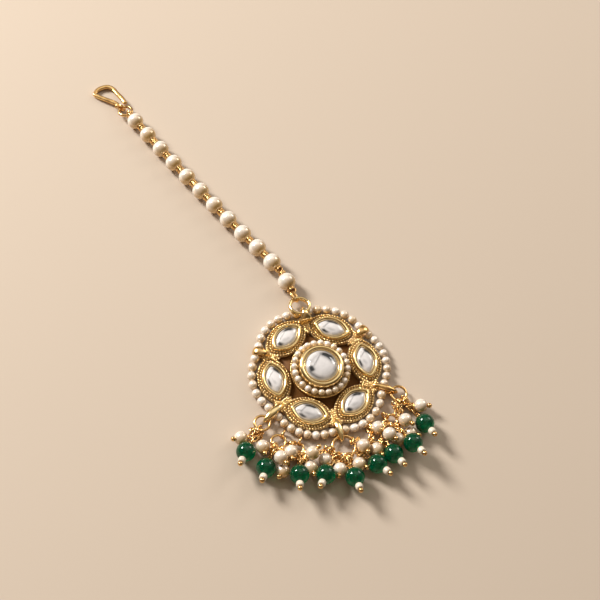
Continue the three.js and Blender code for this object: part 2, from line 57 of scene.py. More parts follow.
# Pendant
SETTING_COUNT = 6
SETTING_RING = 12 * MM
SETTING_LENGTH = 12.66 * MM
TIP_STRETCH = 1.36  # how much faster an inset outline draws in at its tips
BOSS_RING = 13.67 * MM
STEP_HEIGHT = 2.3 * MM
CENTRE_STONE_RADIUS = 4.1 * MM
STEP_RIM = 7.5 * MM  # where the fine grains round the middle setting stand, and how high
STEP_RIM_TOP = 2.06 * MM
STEP_RIM_GRAINS = 80
CENTRE_PEARLS = 24
CENTRE_PEARL_RING = 6.72 * MM
EDGE_RING = 17.45 * MM
EDGE_SCALLOP = 1.3 * MM
EDGE_STRINGS = ((0, 8), (60, 7), (120, 7), (180, 7), (240, 8), (300, 7))
EDGE_SPAN = math.radians(30) - 0.031
LOOP_UNIT = 5.0 * MM
LOOP_EDGE = 0.35 * MM  # half width of a loop's band where it is narrowest
LOOP_THIN = 0.36 * MM  # half its thickness there, and how much that swells
LOOP_SWELL = 0.1 * MM
LOOP_LIFT = 0.46 * MM

# Soldered loops: facing in degrees, length in units, half height, half width at the widest,
# where that is (-1 at the settings, 0 half way, 1 at the tip), and the finish
LOOPS = (
    (90, 0.68, 1.89 * MM, 2.0 * MM, -0.9, "gold"),
    (30, 0.72, 1.1 * MM, 1.5 * MM, 0.7, "wire"),
    (-30, 1.25, 1.0 * MM, 0.8 * MM, 0, "wire"),
    (-90, 1.1, 1.0 * MM, 0.85 * MM, 0, "gold"),
    (-150, 1.25, 1.0 * MM, 0.95 * MM, 0, "gold"),
    (150, 0.72, 1.1 * MM, 1.5 * MM, 0.7, "wire"),
)

# Chain
CHAIN_LEANS = (12, 27, 29, 28.5, 27.5, 26.5, 26.5, 26.5, 26, 25, 25, 24.5)
EYE_WIRE = 0.28 * MM
EYE_TO_PEARL = 0.03 * MM
TOP_RING_NEAR = 15.59 * MM
TOP_RING_RADIUS = 2.45 * MM
TOP_RING_SWING = 9
TOP_RING_LIFT = 2.78 * MM
HOOK_RING_RADIUS = 1.75 * MM
HOOK_RING_WIRE = 0.8 * MM
HOOK_EYE_RADIUS = 0.95 * MM
HOOK_EYE_WIRE = 0.6 * MM
HOOK_COLLAR = (0.44 * MM, 0.26 * MM, 3, 0.24 * MM)  # radius, wire, turns and pitch
HOOK_COLLAR_OUT = 0.7 * MM
HOOK_THICKNESS = 0.86  # of the wire, in shares of its width
HOOK_END_LIFT = 0.55 * MM
HOOK_LENGTH = 8 * MM
HOOK_WIDTH = 5 * MM
HOOK_TURN = 27
HOOK_ROUTE = (
    (0, 0),
    (0.18, 0.13),
    (0.88, 0.15),
    (0.99, 0.3),
    (0.97, 0.58),
    (0.88, 0.8),
    (0.72, 0.98),
    (0.51, 0.96),
    (0.29, 0.76),
    (0.04, 0.57),
    (-0.12, 0.39),
)

# Fringe rings: name, facing in degrees, what they hang on, mean diameter, swing in degrees
EDGE_RADIUS = 18.58 * MM
RING_LIFT = 1.43 * MM
THREAD_REACH = 1.7 * MM  # from the edge pearls to a ring on a link
LOOP_BAND = 0.73 * MM  # the end of a soldered loop, and the ring's distance inside it
LOOP_SLACK = 0.5 * MM
RINGS = (
    ("left", -150, "loop", 3.8 * MM, 0),
    ("lower_left", -134, "thread", 3.5 * MM, 0),
    ("left_middle", -121, "thread", 2.9 * MM, 0),
    ("bottom", -90, "loop", 5.6 * MM, 0),
    ("right_middle", -67, "thread", 3.0 * MM, 0),
    ("lower_right", -51, "thread", 2.9 * MM, 0),
    ("right", -30, "loop", 3.9 * MM, -8),
)

# Drops: ring, bead, then in green-bead diameters the way along from the ring, out from the
# edge and up from the surface, then the pin's turn from straight out in degrees
DROPS = (
    ("left", "green", 0.56, 2.2, 0.05, 18),
    ("left", "pearl", -0.16, 1.8, 0, -26),
    ("left", "pearl", 0.92, 1.4, 0, 48),
    ("lower_left", "green", 0.14, 2.3, 0, 11),
    ("lower_left", "pearl", 0.55, 1.6, 0.5, 59),
    ("lower_left", "pearl", 0.95, 2.05, 0, -12),
    ("left_middle", "green", 0.43, 2.1, 0.25, 9),
    ("left_middle", "pearl", -0.26, 1.0, 0.15, 24),
    ("left_middle", "pearl", 0.77, 0.85, 0.35, 140),
    ("left_middle", "pearl", 0.91, 1.5, 0, 25),
    ("bottom", "green", -1.4, 1.9, 0.15, -26),
    ("bottom", "green", 0, 2.2, 0.15, -2),
    ("bottom", "green", 1.35, 1.95, 0.1, 13),
    ("bottom", "pearl", -1.15, 1.05, 0, 20),
    ("bottom", "pearl", -0.55, 1.6, 0, -24),
    ("bottom", "pearl", 0.5, 1.55, 0, 38),
    ("bottom", "pearl", 0.95, 0.8, 0.2, 0),
    ("right_middle", "green", 0.06, 1.95, 0.05, -6),
    ("right_middle", "pearl", -0.41, 1.25, 0, 3),
    ("right_middle", "pearl", 0.39, 0.4, 0, 20),
    ("lower_right", "green", -0.57, 2.25, 0.35, -15),
    ("lower_right", "pearl", -0.93, 1.1, 0.5, 1),
    ("lower_right", "pearl", -0.69, 1.55, 0, 5),
    ("right", "green", -1.36, 2.2, 0, -35),
    ("right", "pearl", -1.61, 1.25, 0.4, -5),
    ("right", "pearl", -2.09, 1.85, 0, 16),
    ("right", "pearl", -0.38, 1.7, 0, 11),
)
GREEN_DROOP = -27
PEARL_DROOP = -24
BEAD_BORE = 0.84 * MM
SEED_BEAD = 1.9 * MM
SEED_LENGTH = 1.5 * MM
SEED_BORE = 0.6 * MM
PIN_HEAD = 1.3 * MM
PIN_STUB = 0.6 * MM
PIN_EYE = (0.48 * MM, 0.3 * MM)  # mean radius and wire
PIN_EYE_GAP = 0.35 * MM
PIN_FOOT = (0.32 * MM, 0.22 * MM, 3, 0.2 * MM)  # radius, wire, turns and pitch
PIN_FOOT_GAP = 0.28 * MM
PIN_WIRE = 0.4 * MM
PIN_HEAD_GAP = 0.45 * MM
LINK_STEP = 1.8 * MM  # about how far apart the links of a run lie
LINK_OVERLAP = 0.4 * MM
LINK_WIDTH = 0.72 * MM  # half of it
THREAD_LINK = (0.85 * MM, 1.05 * MM)  # half sizes of the link at the edge pearls' thread
THREAD_LINK_OUT = 1.22 * MM
HOOP_RADIUS = 0.85 * MM
HOOP_OUT = 0.35 * MM
STRAY_PLACES = (0.1, 0.35, 0.65)  # shares of a run of links where a loose link lies
STRAY_WIDTH = 0.6 * MM
STRAY_OUT = 0.55 * MM
PIECE_GAP = 0.12 * MM

# Sizes and colours that a user may change


def length_property(name, description, millimetres):
    """A size that a user may change."""
    return bpy.props.FloatProperty(
        name=name,
        description=description,
        default=millimetres * MM,
        min=0,
        unit="LENGTH",
    )


class TikkaSizes(bpy.types.PropertyGroup):
    setting_width: length_property("Setting width", "Pointed setting over its beaded edge", 8.4)
    grain: length_property("Grain", "Gold grains along the edges of the settings", 0.68)
    edge_pearl: length_property("Edge pearl", "Pearls strung round the pendant", 2.26)
    centre_pearl: length_property("Centre pearl", "Pearls round the middle stone", 1.66)
    chain_pearl: length_property("Chain pearl", "The chain's pearl next to the pendant", 4.65)
    drop_pearl: length_property("Drop pearl", "Pearls in the fringe", 3.4)
    green_bead: length_property("Green bead", "Green glass beads", 4.8)
    jump_wire: length_property("Jump ring wire", "Wire of the jump rings", 0.7)
    link_wire: length_property("Link wire", "Wire between the rings and the drops", 0.46)
    hook_wire: length_property("Hook wire", "Flattened wire of the hair hook", 1.15)


def colour_property(name, description, default):
    """A colour that a user may change."""
    return bpy.props.FloatVectorProperty(
        name=name,
        description=description,
        default=default,
        subtype="COLOR",
        size=3,
        min=0,
        max=1,
    )


class TikkaColours(bpy.types.PropertyGroup):
    gold: colour_property("Gold", "Pale plating of the settings", (0.97, 0.74, 0.37))
    # The recess colour is tarnish in the hollows and painted shade there as well.
    gold_tarnish_and_shade: colour_property("Gold recess", "Plating in grooves", (0.15, 0.065, 0.02))
    wire: colour_property("Wire", "Warmer gold of rings and links", (0.92, 0.61, 0.26))
    wire_deep: colour_property("Wire recess", "Tarnish on the wire", (0.42, 0.2, 0.06))
    pearl: colour_property("Pearl", "Body of a pearl", (0.9, 0.84, 0.76))
    # Rose comes from each pearl's tint and its painted shade; gold is painted shade and reflection.
    pearl_rose: colour_property("Pearl rose", "Warm blush on a pearl", (0.76, 0.62, 0.48))
    pearl_painted_gold_shade: colour_property("Pearl gold", "Golden shade of a pearl", (0.66, 0.42, 0.15))
    seed: colour_property("Seed bead", "White seed beads", (0.78, 0.7, 0.57))
    # The lit green is a painted glow on the side where light would leave each bead.
    green: colour_property("Green glass", "Lit green of the beads", (0.0, 0.43, 0.16))
    green_deep: colour_property("Green depth", "Dark green", (0.0, 0.085, 0.032))
    stone: colour_property("Stone", "Bright facets", (0.76, 0.73, 0.73))
    # The dark colour gives the facets' random tone and the painted dark reflections.
    stone_dark_tone_and_reflection: colour_property("Stone dark", "Dark facets", (0.05, 0.055, 0.06))
    floor: colour_property("Floor", "Plain pale floor", (0.56, 0.47, 0.385))


def sizes():
    """The sizes of this scene."""
    return bpy.context.scene.tikka_sizes


def colours():
    """The colours of this scene."""
    return bpy.context.scene.tikka_colours


# Surfaces


class Surface:
    """Points, four-cornered and three-cornered faces, and one number from 0 to 1 a point."""

    def __init__(self, points, quads, triangles, value):
        self.points = np.asarray(points, float).reshape(-1, 3)
        self.quads = np.asarray(quads, int).reshape(-1, 4)
        self.triangles = np.asarray(triangles, int).reshape(-1, 3)
        self.value = np.broadcast_to(np.asarray(value, float), len(self.points)).copy()

    def outward(self):
        """Turns the faces round if the volume inside, a sum of corner products, is negative."""
        halves = [self.quads[:, :3], self.quads[:, [0, 2, 3]], self.triangles]
        corners = self.points[np.vstack(halves)]
        volume = np.einsum("ni,ni->", corners[:, 0], np.cross(corners[:, 1], corners[:, 2]))
        if volume < 0:
            self.quads = self.quads[:, ::-1]
            self.triangles = self.triangles[:, ::-1]
        return self


def skin(points, value=0.0, loop=False, ends=None):
    """A skin over points[row, column]: each row is a closed outline, joined to the next row.

    The last row joins the first if loop is set. Otherwise each end closes in a fan to one
    point, which is the middle of the end's row unless ends names it.
    """
    rows, columns = points.shape[:2]
    value = np.broadcast_to(np.asarray(value, float), (rows, columns))
    index = np.arange(rows * columns).reshape(rows, columns)
    wide = np.hstack([index, index[:, :1]])
    if loop:
        wide = np.vstack([wide, wide[:1]])
    quads = np.stack([wide[:-1, :-1], wide[:-1, 1:], wide[1:, 1:], wide[1:, :-1]], -1)
    triangles = np.empty((0, 3), int)
    flat, levels = points.reshape(-1, 3), value.reshape(-1)
    if not loop:
        first, last = ends or (points[0].mean(0), points[-1].mean(0))
        flat = np.vstack([flat, first, last])
        levels = np.append(levels, [value[0].mean(), value[-1].mean()])
        low, high = np.full(columns, rows * columns), np.full(columns, rows * columns + 1)
        triangles = np.vstack(
            [
                np.stack([low, wide[0, 1:], wide[0, :-1]], -1),
                np.stack([high, wide[-1, :-1], wide[-1, 1:]], -1),
            ]
        )
    return Surface(flat, quads, triangles, levels).outward()


def circle(count, start=0.0):
    """Equally spaced angles round a whole turn, the last one a step short of the first."""
    return start + np.linspace(0, 2 * np.pi, count, endpoint=False)


def turned(profile, sides, value=0.0, loop=False):
    """Turned about +Z: radius r and height z of the profile give (r cos u, r sin u, z).

    With loop set, the profile's last point joins its first one, as round a bore.
    """
    profile = np.asarray(profile, float)
    value = np.broadcast_to(np.asarray(value, float), len(profile))
    poles = profile[:, 0] <= 0
    body, angle = profile[~poles], circle(sides)
    radius, height = body[:, :1], body[:, 1:]
    points = np.stack(
        [radius * np.cos(angle), radius * np.sin(angle), height + 0 * angle], -1
    )
    ends = None
    if poles[0] and poles[-1]:
        ends = ((0, 0, profile[0, 1]), (0, 0, profile[-1, 1]))
    return skin(points, value[~poles][:, None], loop, ends)


def ball(radius, rows, sides):
    """A sphere: latitude v gives radius R cos v and height R sin v."""
    latitude = np.linspace(-np.pi / 2, np.pi / 2, rows + 2)
    profile = np.stack([np.cos(latitude), np.sin(latitude)], -1) * radius
    profile[[0, -1], 0] = 0
    return turned(profile, sides)


def bored_ball(radius, bore, rows, sides):
    """A sphere with a straight bore along +Z: latitudes up to the bore's edge, then the bore."""
    pole = math.sqrt(radius * radius - bore * bore)
    top = math.asin(pole / radius)
    latitude = np.linspace(-top, top, rows)
    profile = np.stack([np.cos(latitude), np.sin(latitude)], -1) * radius
    return turned(profile, sides, loop=True)


def unit(vectors):
    """The vectors with length 1."""
    return vectors / np.linalg.norm(vectors, axis=-1, keepdims=True)


def tube(path, width, height=None, sides=8, closed=False, reference=UP, power=1.0, value=0.0):
    """A section carried along a path.

    At each point of the path, side is the tangent crossed with the reference and rise is side
    crossed with the tangent. The section is side w cos(u)^p + rise h sin(u)^p, where the
    power p keeps the sign and makes a round section, at 1, squarer as it falls.
    """
    path = np.asarray(path, float)
    count = len(path)
    if closed:
        tangent = np.roll(path, -1, 0) - np.roll(path, 1, 0)
    else:
        tangent = np.gradient(path, axis=0)
    tangent = unit(tangent)
    side = unit(np.cross(tangent, reference))
    rise = np.cross(side, tangent)
    height = width if height is None else height
    width = np.broadcast_to(np.asarray(width, float), count).copy()
    height = np.broadcast_to(np.asarray(height, float), count).copy()
    ends = None
    if not closed:
        first, last = min(width[0], height[0]), min(width[-1], height[-1])
        ends = (path[0] - tangent[0] * first, path[-1] + tangent[-1] * last)
        steps, shares = np.array([[0.87], [0.5]]), np.array([0.5, 0.87])
        path = np.vstack(
            [
                path[0] - tangent[0] * first * steps,
                path,
                path[-1] + tangent[-1] * last * steps[::-1],
            ]
        )
        side = np.vstack([side[:1], side[:1], side, side[-1:], side[-1:]])
        rise = np.vstack([rise[:1], rise[:1], rise, rise[-1:], rise[-1:]])
        width = np.concatenate([width[0] * shares, width, width[-1] * shares[::-1]])
        height = np.concatenate([height[0] * shares, height, height[-1] * shares[::-1]])
    angle = circle(sides, np.pi / sides)
    across = np.sign(np.cos(angle)) * np.abs(np.cos(angle)) ** power
    above = np.sign(np.sin(angle)) * np.abs(np.sin(angle)) ** power
    points = (
        path[:, None]
        + side[:, None] * (width[:, None] * across)[..., None]
        + rise[:, None] * (height[:, None] * above)[..., None]
    )
    value = np.asarray(value, float)
    if value.ndim:
        value = value[:, None]
    return skin(points, value, loop=closed, ends=ends)


def ring(radius, wire, steps, sides):
    """A round ring in the XY plane, of mean radius and wire thickness."""
    return oval_ring(radius, radius, wire, steps, sides)


def oval_ring(half_length, half_width, wire, steps, sides):
    """A ring in the XY plane along (a cos t, b sin t)."""
    angle = circle(steps)
    path = np.stack([half_length * np.cos(angle), half_width * np.sin(angle), 0 * angle], -1)
    return tube(path, wire / 2, sides=sides, closed=True)


def coil(radius, wire, turns, pitch, steps, sides):
    """A wire wound about +Z: (r cos t, r sin t, pitch (t / 2 pi - turns / 2))."""
    angle = np.linspace(0, 2 * np.pi * turns, int(steps * turns) + 1)
    height = pitch * (angle / (2 * np.pi) - turns / 2)
    path = np.stack([radius * np.cos(angle), radius * np.sin(angle), height], -1)
    return tube(path, wire / 2, sides=sides)


def joined(shapes):
    """Many shapes as one, with each shape's corners counted on from the last."""
    start, points, quads, triangles, value = 0, [], [], [], []
    for shape in shapes:
        points.append(shape.points)
        quads.append(shape.quads + start)
        triangles.append(shape.triangles + start)
        value.append(shape.value)
        start += len(shape.points)
    return Surface(
        np.vstack(points), np.vstack(quads), np.vstack(triangles), np.concatenate(value)
    )


def placed(shape, turn=None, point=(0, 0, 0)):
    """The shape with each point p at turn p + point."""
    turn = np.eye(3) if turn is None else turn
    points = shape.points @ np.asarray(turn).T + np.asarray(point)
    return Surface(points, shape.quads, shape.triangles, shape.value)


def copies(shape, points, turns=None):
    """The shape at many places at once: copy k has its point p at turn_k p + point_k."""
    points = np.asarray(points, float).reshape(-1, 3)
    count, size = len(points), len(shape.points)
    turns = np.broadcast_to(np.eye(3) if turns is None else turns, (count, 3, 3))
    moved = np.einsum("kij,nj->kni", turns, shape.points) + points[:, None]
    start = (np.arange(count) * size)[:, None, None]
    levels = np.tile(shape.value, count)
    return Surface(moved, shape.quads + start, shape.triangles + start, levels)


def spin_x(degrees):
    """A turn about +X."""
    return np.array(Matrix.Rotation(math.radians(degrees), 3, "X"))


def spin_y(degrees):
    """A turn about +Y."""
    return np.array(Matrix.Rotation(math.radians(degrees), 3, "Y"))


def spin_z(degrees):
    """A turn about +Z."""
    return np.array(Matrix.Rotation(math.radians(degrees), 3, "Z"))


def aims(directions):
    """Turns that carry +Z to each direction, with +X kept level."""
    forward = unit(np.asarray(directions, float).reshape(-1, 3))
    level = unit(np.cross(UP, forward) + np.array([1e-9, 0, 0]))
    return np.stack([level, np.cross(forward, level), forward], -1)


def polar(radius, degrees, height=0.0):
    """Points at a radius and a direction round the pendant: (r cos a, r sin a, z)."""
    angle = np.radians(degrees)
    parts = np.broadcast_arrays(radius * np.cos(angle), radius * np.sin(angle), height)
    return np.stack(parts, -1).astype(float)


def evenly(path, count, closed=False):
    """Points a whole number of equal steps apart along a path, and the tangents there."""
    if closed:
        path = np.vstack([path, path[:1]])
    steps = np.linalg.norm(np.diff(path, axis=0), axis=1)
    reach = np.concatenate([[0], np.cumsum(steps)])
    offset = 0.0 if closed else 0.5
    wanted = (np.arange(count) + offset) * reach[-1] / count
    points = np.stack([np.interp(wanted, reach, path[:, i]) for i in range(3)], -1)
    slopes = np.gradient(path, axis=0)
    tangents = np.stack([np.interp(wanted, reach, slopes[:, i]) for i in range(3)], -1)
    return points, unit(tangents), reach[-1] / count


# Finishes


class Wire:
    """An output socket; arithmetic on it adds Math nodes to its tree."""

    def __init__(self, owner, socket):
        self.owner = owner
        self.socket = socket

    def math(self, operation, first, second):
        return self.owner.node("ShaderNodeMath", {"operation": operation}, {0: first, 1: second})

    def __add__(self, other):
        return self.math("ADD", self, other)

    def __radd__(self, other):
        return self.math("ADD", other, self)

    def __sub__(self, other):
        return self.math("SUBTRACT", self, other)

    def __rsub__(self, other):
        return self.math("SUBTRACT", other, self)

    def __mul__(self, other):
        return self.math("MULTIPLY", self, other)

    def __rmul__(self, other):
        return self.math("MULTIPLY", other, self)


class NodeTree:
    """A node tree under way, of a material or the world. Every node comes from node()."""

    def __init__(self, owner, shader):
        owner.use_nodes = True
        self.tree = owner.node_tree
        self.shader = self.tree.nodes[shader]

    def set(self, **values):
        for name, value in values.items():
            self.feed(self.shader.inputs[name.replace("_", " ")], value)

    def feed(self, socket, value):
        if isinstance(value, Wire):
            self.tree.links.new(value.socket, socket)
        elif hasattr(value, "__len__") and len(value) == 3 and socket.type == "RGBA":
            socket.default_value = (*value, 1)
        else:
            socket.default_value = value

    def node(self, kind, settings=None, sockets=None, output=0):
        """A node with its settings made first, then its sockets; returns one output."""
        made = self.tree.nodes.new(kind)
        settings = dict(settings or {})
        stops = settings.pop("stops", None)
        for name, value in settings.items():
            setattr(made, name, value)
        if stops:
            marks = made.color_ramp.elements
            while len(marks) < len(stops):
                marks.new(0.5)
            for mark, (place, level) in zip(marks, stops):
                mark.position = place
                mark.color = (*np.broadcast_to(level, 3), 1)
        for name, value in (sockets or {}).items():
            self.feed(made.inputs[name], value)
        return Wire(self, made.outputs[output])

    def ramp(self, value, stops):
        return self.node("ShaderNodeValToRGB", {"stops": stops}, {"Fac": value})


class Finish(NodeTree):
    """A material round one glossy shader."""

    def __init__(self, name, **fixed):
        self.material = bpy.data.materials.new(name)
        super().__init__(self.material, "Principled BSDF")
        self.set(**fixed)

    def noise(self, scale, detail):
        place = self.node("ShaderNodeTexCoord", output="Object")
        sockets = {"Vector": place, "Scale": scale, "Detail": detail}
        return self.node("ShaderNodeTexNoise", None, sockets)

    def level(self, name="level"):
        return self.node("ShaderNodeAttribute", {"attribute_name": name}, output="Fac")

    def blend(self, share, first, second):
        settings = {"data_type": "RGBA"}
        return self.node("ShaderNodeMix", settings, {0: share, 6: first, 7: second}, 2)

    def bump(self, height, distance, strength):
        sockets = {"Height": height, "Distance": distance, "Strength": strength}
        self.set(Normal=self.node("ShaderNodeBump", None, sockets))


def gold_finish():
    """Pale polished plating, faint cast grain; deeper, duller grooves of tarnish and painted shade.
    """
    tint = colours()
    finish = Finish("champagne_gold", IOR=1.2)
    cast = finish.noise(1500, 3)
    cloud = finish.noise(260, 2)
    # How far each place takes the recess colour: tarnish and painted shade in grooves and on
    # plates.
    recess = finish.ramp(finish.level() + (cast - 0.5) * 0.3, [(0.1, 0), (0.9, 1)])
    warm = tuple(0.5 * (a + b) for a, b in zip(tint.gold, tint.wire))
    body = finish.blend(finish.ramp(cloud, [(0.4, 0), (0.7, 0.5)]), tint.gold, warm)
    finish.set(
        Base_Color=finish.blend(recess, body, tint.gold_tarnish_and_shade),
        Metallic=1 - recess,
        Roughness=0.1 + cast * 0.12 + recess * 0.3,
    )
    finish.bump(cast, 0.02 * MM, 0.5)
    return finish.material


def wire_finish():
    """Warmer gold of drawn wire, with darker patches and fine drawing marks."""
    tint = colours()
    finish = Finish("warm_gold_wire", Metallic=1.0, IOR=1.5)
    patch = finish.noise(700, 3)
    mark = finish.noise(4000, 2)
    finish.set(
        Base_Color=finish.blend(
            finish.ramp(patch, [(0.42, 0), (0.75, 0.85)]), tint.wire, tint.wire_deep
        ),
        Roughness=0.16 + mark * 0.14,
    )
    finish.bump(mark, 0.01 * MM, 0.5)
    return finish.material


def pearl_finish():
    """Cream lacquer, each pearl's own tint, slight uneven skin; rose then gold towards its painted
    shade.
    """
    tint = colours()
    finish = Finish(
        "cream_pearl",
        Coat_Roughness=0.12,
        Coat_IOR=1.8,
        Specular_IOR_Level=0.8,
        Subsurface_Weight=0.06,
        Subsurface_Radius=(1.0, 0.7, 0.5),
        Subsurface_Scale=0.5 * MM,
    )
    skin_noise = finish.noise(420, 2)
    fine = finish.noise(2500, 2)
    # Each pearl's tint, with its painted shade and painted golden reflection.
    tint_and_shade_level = finish.level() + (skin_noise - 0.5) * 0.4
    rose_tint_and_shade = finish.blend(finish.ramp(tint_and_shade_level, [(0.1, 0), (0.45, 1)]), tint.pearl, tint.pearl_rose)
    finish.set(
        # Golden towards the shaded side: painted shade and a painted reflection of the gold.
        Base_Color=finish.blend(finish.ramp(tint_and_shade_level, [(0.4, 0), (0.85, 1)]), rose_tint_and_shade, tint.pearl_painted_gold_shade),
        Metallic=0.25,
        Roughness=0.2 + fine * 0.1,
        Coat_Weight=0.75,
    )
    finish.bump(skin_noise, 0.03 * MM, 0.35)
    return finish.material


def seed_finish():
    """White glazed seed bead with slightly grey, glossy skin."""
    tint = colours()
    finish = Finish("white_seed", Coat_Weight=0.6, Coat_Roughness=0.06)
    cloud = finish.noise(900, 2)
    grey = tuple(0.8 * channel for channel in tint.seed)
    finish.set(
        Base_Color=finish.blend(finish.ramp(cloud, [(0.35, 0), (0.7, 1)]), tint.seed, grey),
        Roughness=0.2 + cloud * 0.15,
    )
    finish.bump(cloud, 0.03 * MM, 0.3)
    return finish.material


def green_finish():
    """Emerald glass: dark all round, a painted glow where light would leave it, faint clouds
    inside.
    """
    tint = colours()
    finish = Finish(
        "emerald_glass",
        IOR=1.45,
        Specular_IOR_Level=0.45,
        Transmission_Weight=0.45,
        Subsurface_Weight=0.3,
        Subsurface_Radius=(0.1, 1.0, 0.4),
        Subsurface_Scale=1.2 * MM,
    )
    cloud = finish.noise(400, 2)
    # Painted glow: lit green on the side where light would leave the bead.
    painted_glow = finish.ramp(finish.level() + (cloud - 0.5) * 0.5, [(0.45, 0), (0.9, 1)])
    finish.set(
        Base_Color=finish.blend(painted_glow, tint.green_deep, tint.green),
        Roughness=0.03 + cloud * 0.03,
    )
    finish.bump(cloud, 0.02 * MM, 0.15)
    return finish.material


def stone_finish():
    """Foil-backed glass: each facet its own brightness, painted dark reflections, a hard polish."""
    tint = colours()
    finish = Finish(
        "clear_stone",
        IOR=1.55,
        Coat_Weight=1.0,
        Coat_Roughness=0.02,
    )
    # level holds the painted dark reflections, facet each facet's random tone.
    facet, patch = finish.level("facet"), finish.level()
    cloud = finish.noise(600, 2)
    share = finish.ramp(patch + facet * 0.75 + (cloud - 0.5) * 0.3, [(0.05, 0), (0.75, 1)])
    finish.set(
        Base_Color=finish.blend(share, tint.stone, tint.stone_dark_tone_and_reflection),
        Roughness=0.08 + cloud * 0.08,
        Metallic=0.08 + patch * 0.5,
    )
    finish.bump(cloud, 0.03 * MM, 0.2)
    return finish.material


def floor_finish():
    """Plain pale floor, matt and very slightly uneven in tone."""
    tint = colours()
    finish = Finish("plain_floor", Roughness=0.75, Specular_IOR_Level=0.3)
    grain = finish.noise(3000, 2)
    pale = tuple(1.03 * channel for channel in tint.floor)
    finish.set(Base_Color=finish.blend(grain, tint.floor, pale))
    return finish.material


FINISHES = {
    "gold": gold_finish,
    "wire": wire_finish,
    "pearl": pearl_finish,
    "seed": seed_finish,
    "green": green_finish,
    "stone": stone_finish,
    "floor": floor_finish,
}
made_finishes = {}


def material(kind):
    """The material of a finish, made when it is first asked for."""
    if kind not in made_finishes:
        made_finishes[kind] = FINISHES[kind]()
    return made_finishes[kind]


def mesh_object(name, shape, kind, facets):
    """A smooth mesh object with the shape's levels, and a tone for each face where given."""
    mesh = bpy.data.meshes.new(name)
    faces = shape.quads.tolist() + shape.triangles.tolist()
    mesh.from_pydata(shape.points.tolist(), [], faces)
    level = mesh.attributes.new("level", "FLOAT", "POINT")
    level.data.foreach_set("value", shape.value.astype(np.float32))
    if facets is not None:
        facet = mesh.attributes.new("facet", "FLOAT", "FACE")
        facet.data.foreach_set("value", np.asarray(facets, np.float32))
    mesh.polygons.foreach_set("use_smooth", np.full(len(faces), True))
    mesh.materials.append(material(kind))
    mesh.update()
    made = bpy.data.objects.new(name, mesh)
    bpy.context.scene.collection.objects.link(made)
    return made


def add_piece(name, shape, kind, nodes, facets=None):
    """A piece of the jewel in place of its nodes, with its finish."""
    made = mesh_object(name, shape, kind, facets)
    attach(made, "root")
    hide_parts(*nodes)


# Pendant frame


def pointed_outline(half_length, half_width, angle, sharp=1.0):
    """A pointed oval as (a cos t, b sin t (1 - s (0.17 c^2 + 0.27 c^4))), where c is cos t."""
    c = np.cos(angle)
    return half_length * c, half_width * np.sin(angle) * (1 - sharp * (0.17 * c**2 + 0.27 * c**4))


def inset_outline(half_width, inset, angle):
    """The outline of a setting drawn in by an inset; it starts blunt and sharpens inwards."""
    sharp = 0.4 + 0.6 * np.clip(inset / MM, 0, 1)
    half_length = SETTING_LENGTH / 2 - TIP_STRETCH * inset
    return pointed_outline(half_length, half_width - inset, angle, sharp)


# Inset from the edge, height in mm, and how recessed that place is, as tarnish and painted shade
SETTING_PROFILE = (
    (0.25, 0.0, 1.0),
    (0.05, 0.1, 1.0),
    (0.0, 0.7, 0.8),
    (0.0, 1.1, 0.5),
    (0.05, 1.2, 0.6),
    (0.1, 1.22, 0.75),
    (0.6, 1.22, 0.75),
    (1.0, 1.26, 0.8),
    (1.05, 1.5, 0.7),
    (1.06, 1.8, 0.5),
    (1.08, 2.04, 0.0),
    (1.13, 2.26, 0.0),
    (1.22, 2.46, 0.0),
    (1.34, 2.57, 0.0),
    (1.48, 2.6, 0.0),
    (1.62, 2.56, 0.0),
    (1.76, 2.45, 0.0),
    (1.88, 2.28, 0.1),
    (1.96, 2.08, 0.4),
    (2.02, 1.86, 0.8),
    (2.05, 1.6, 1.0),
)


def pointed_setting(half_width):
    """The profile carried round a pointed oval that faces +X: (ring - v, u, height)."""
    profile = np.array(SETTING_PROFILE)
    inset, height = profile[:, 0] * MM, profile[:, 1] * MM
    angle = circle(96)
    u, v = inset_outline(half_width, inset[:, None], angle)
    points = np.stack([SETTING_RING - v, u, height[:, None] + 0 * angle], -1)
    return skin(points, profile[:, 2:])


def all_round(shape, start=0.0):
    """The shape at each setting's bearing, or start degrees on from it."""
    turns = [spin_z(start + 360 * i / SETTING_COUNT) for i in range(SETTING_COUNT)]
    return copies(shape, np.zeros((SETTING_COUNT, 3)), np.stack(turns))


# Rows of grains on the ledge of a setting: inset and height in mm, and how many grains
GRAIN_ROWS = ((0.3, 1.36, 43), (0.86, 1.42, 37))


def grain_rows(half_width, grain):
    """Grains set close along the ledge of one setting, and the same for all six."""
    rows = []
    for inset, height, count in GRAIN_ROWS:
        u, v = inset_outline(half_width, inset * MM, circle(240))
        path = np.stack([SETTING_RING - v, u, np.full(len(u), height * MM)], -1)
        rows.append(evenly(path, count, closed=True)[0])
    return all_round(copies(ball(grain / 2, 3, 6), np.vstack(rows)))


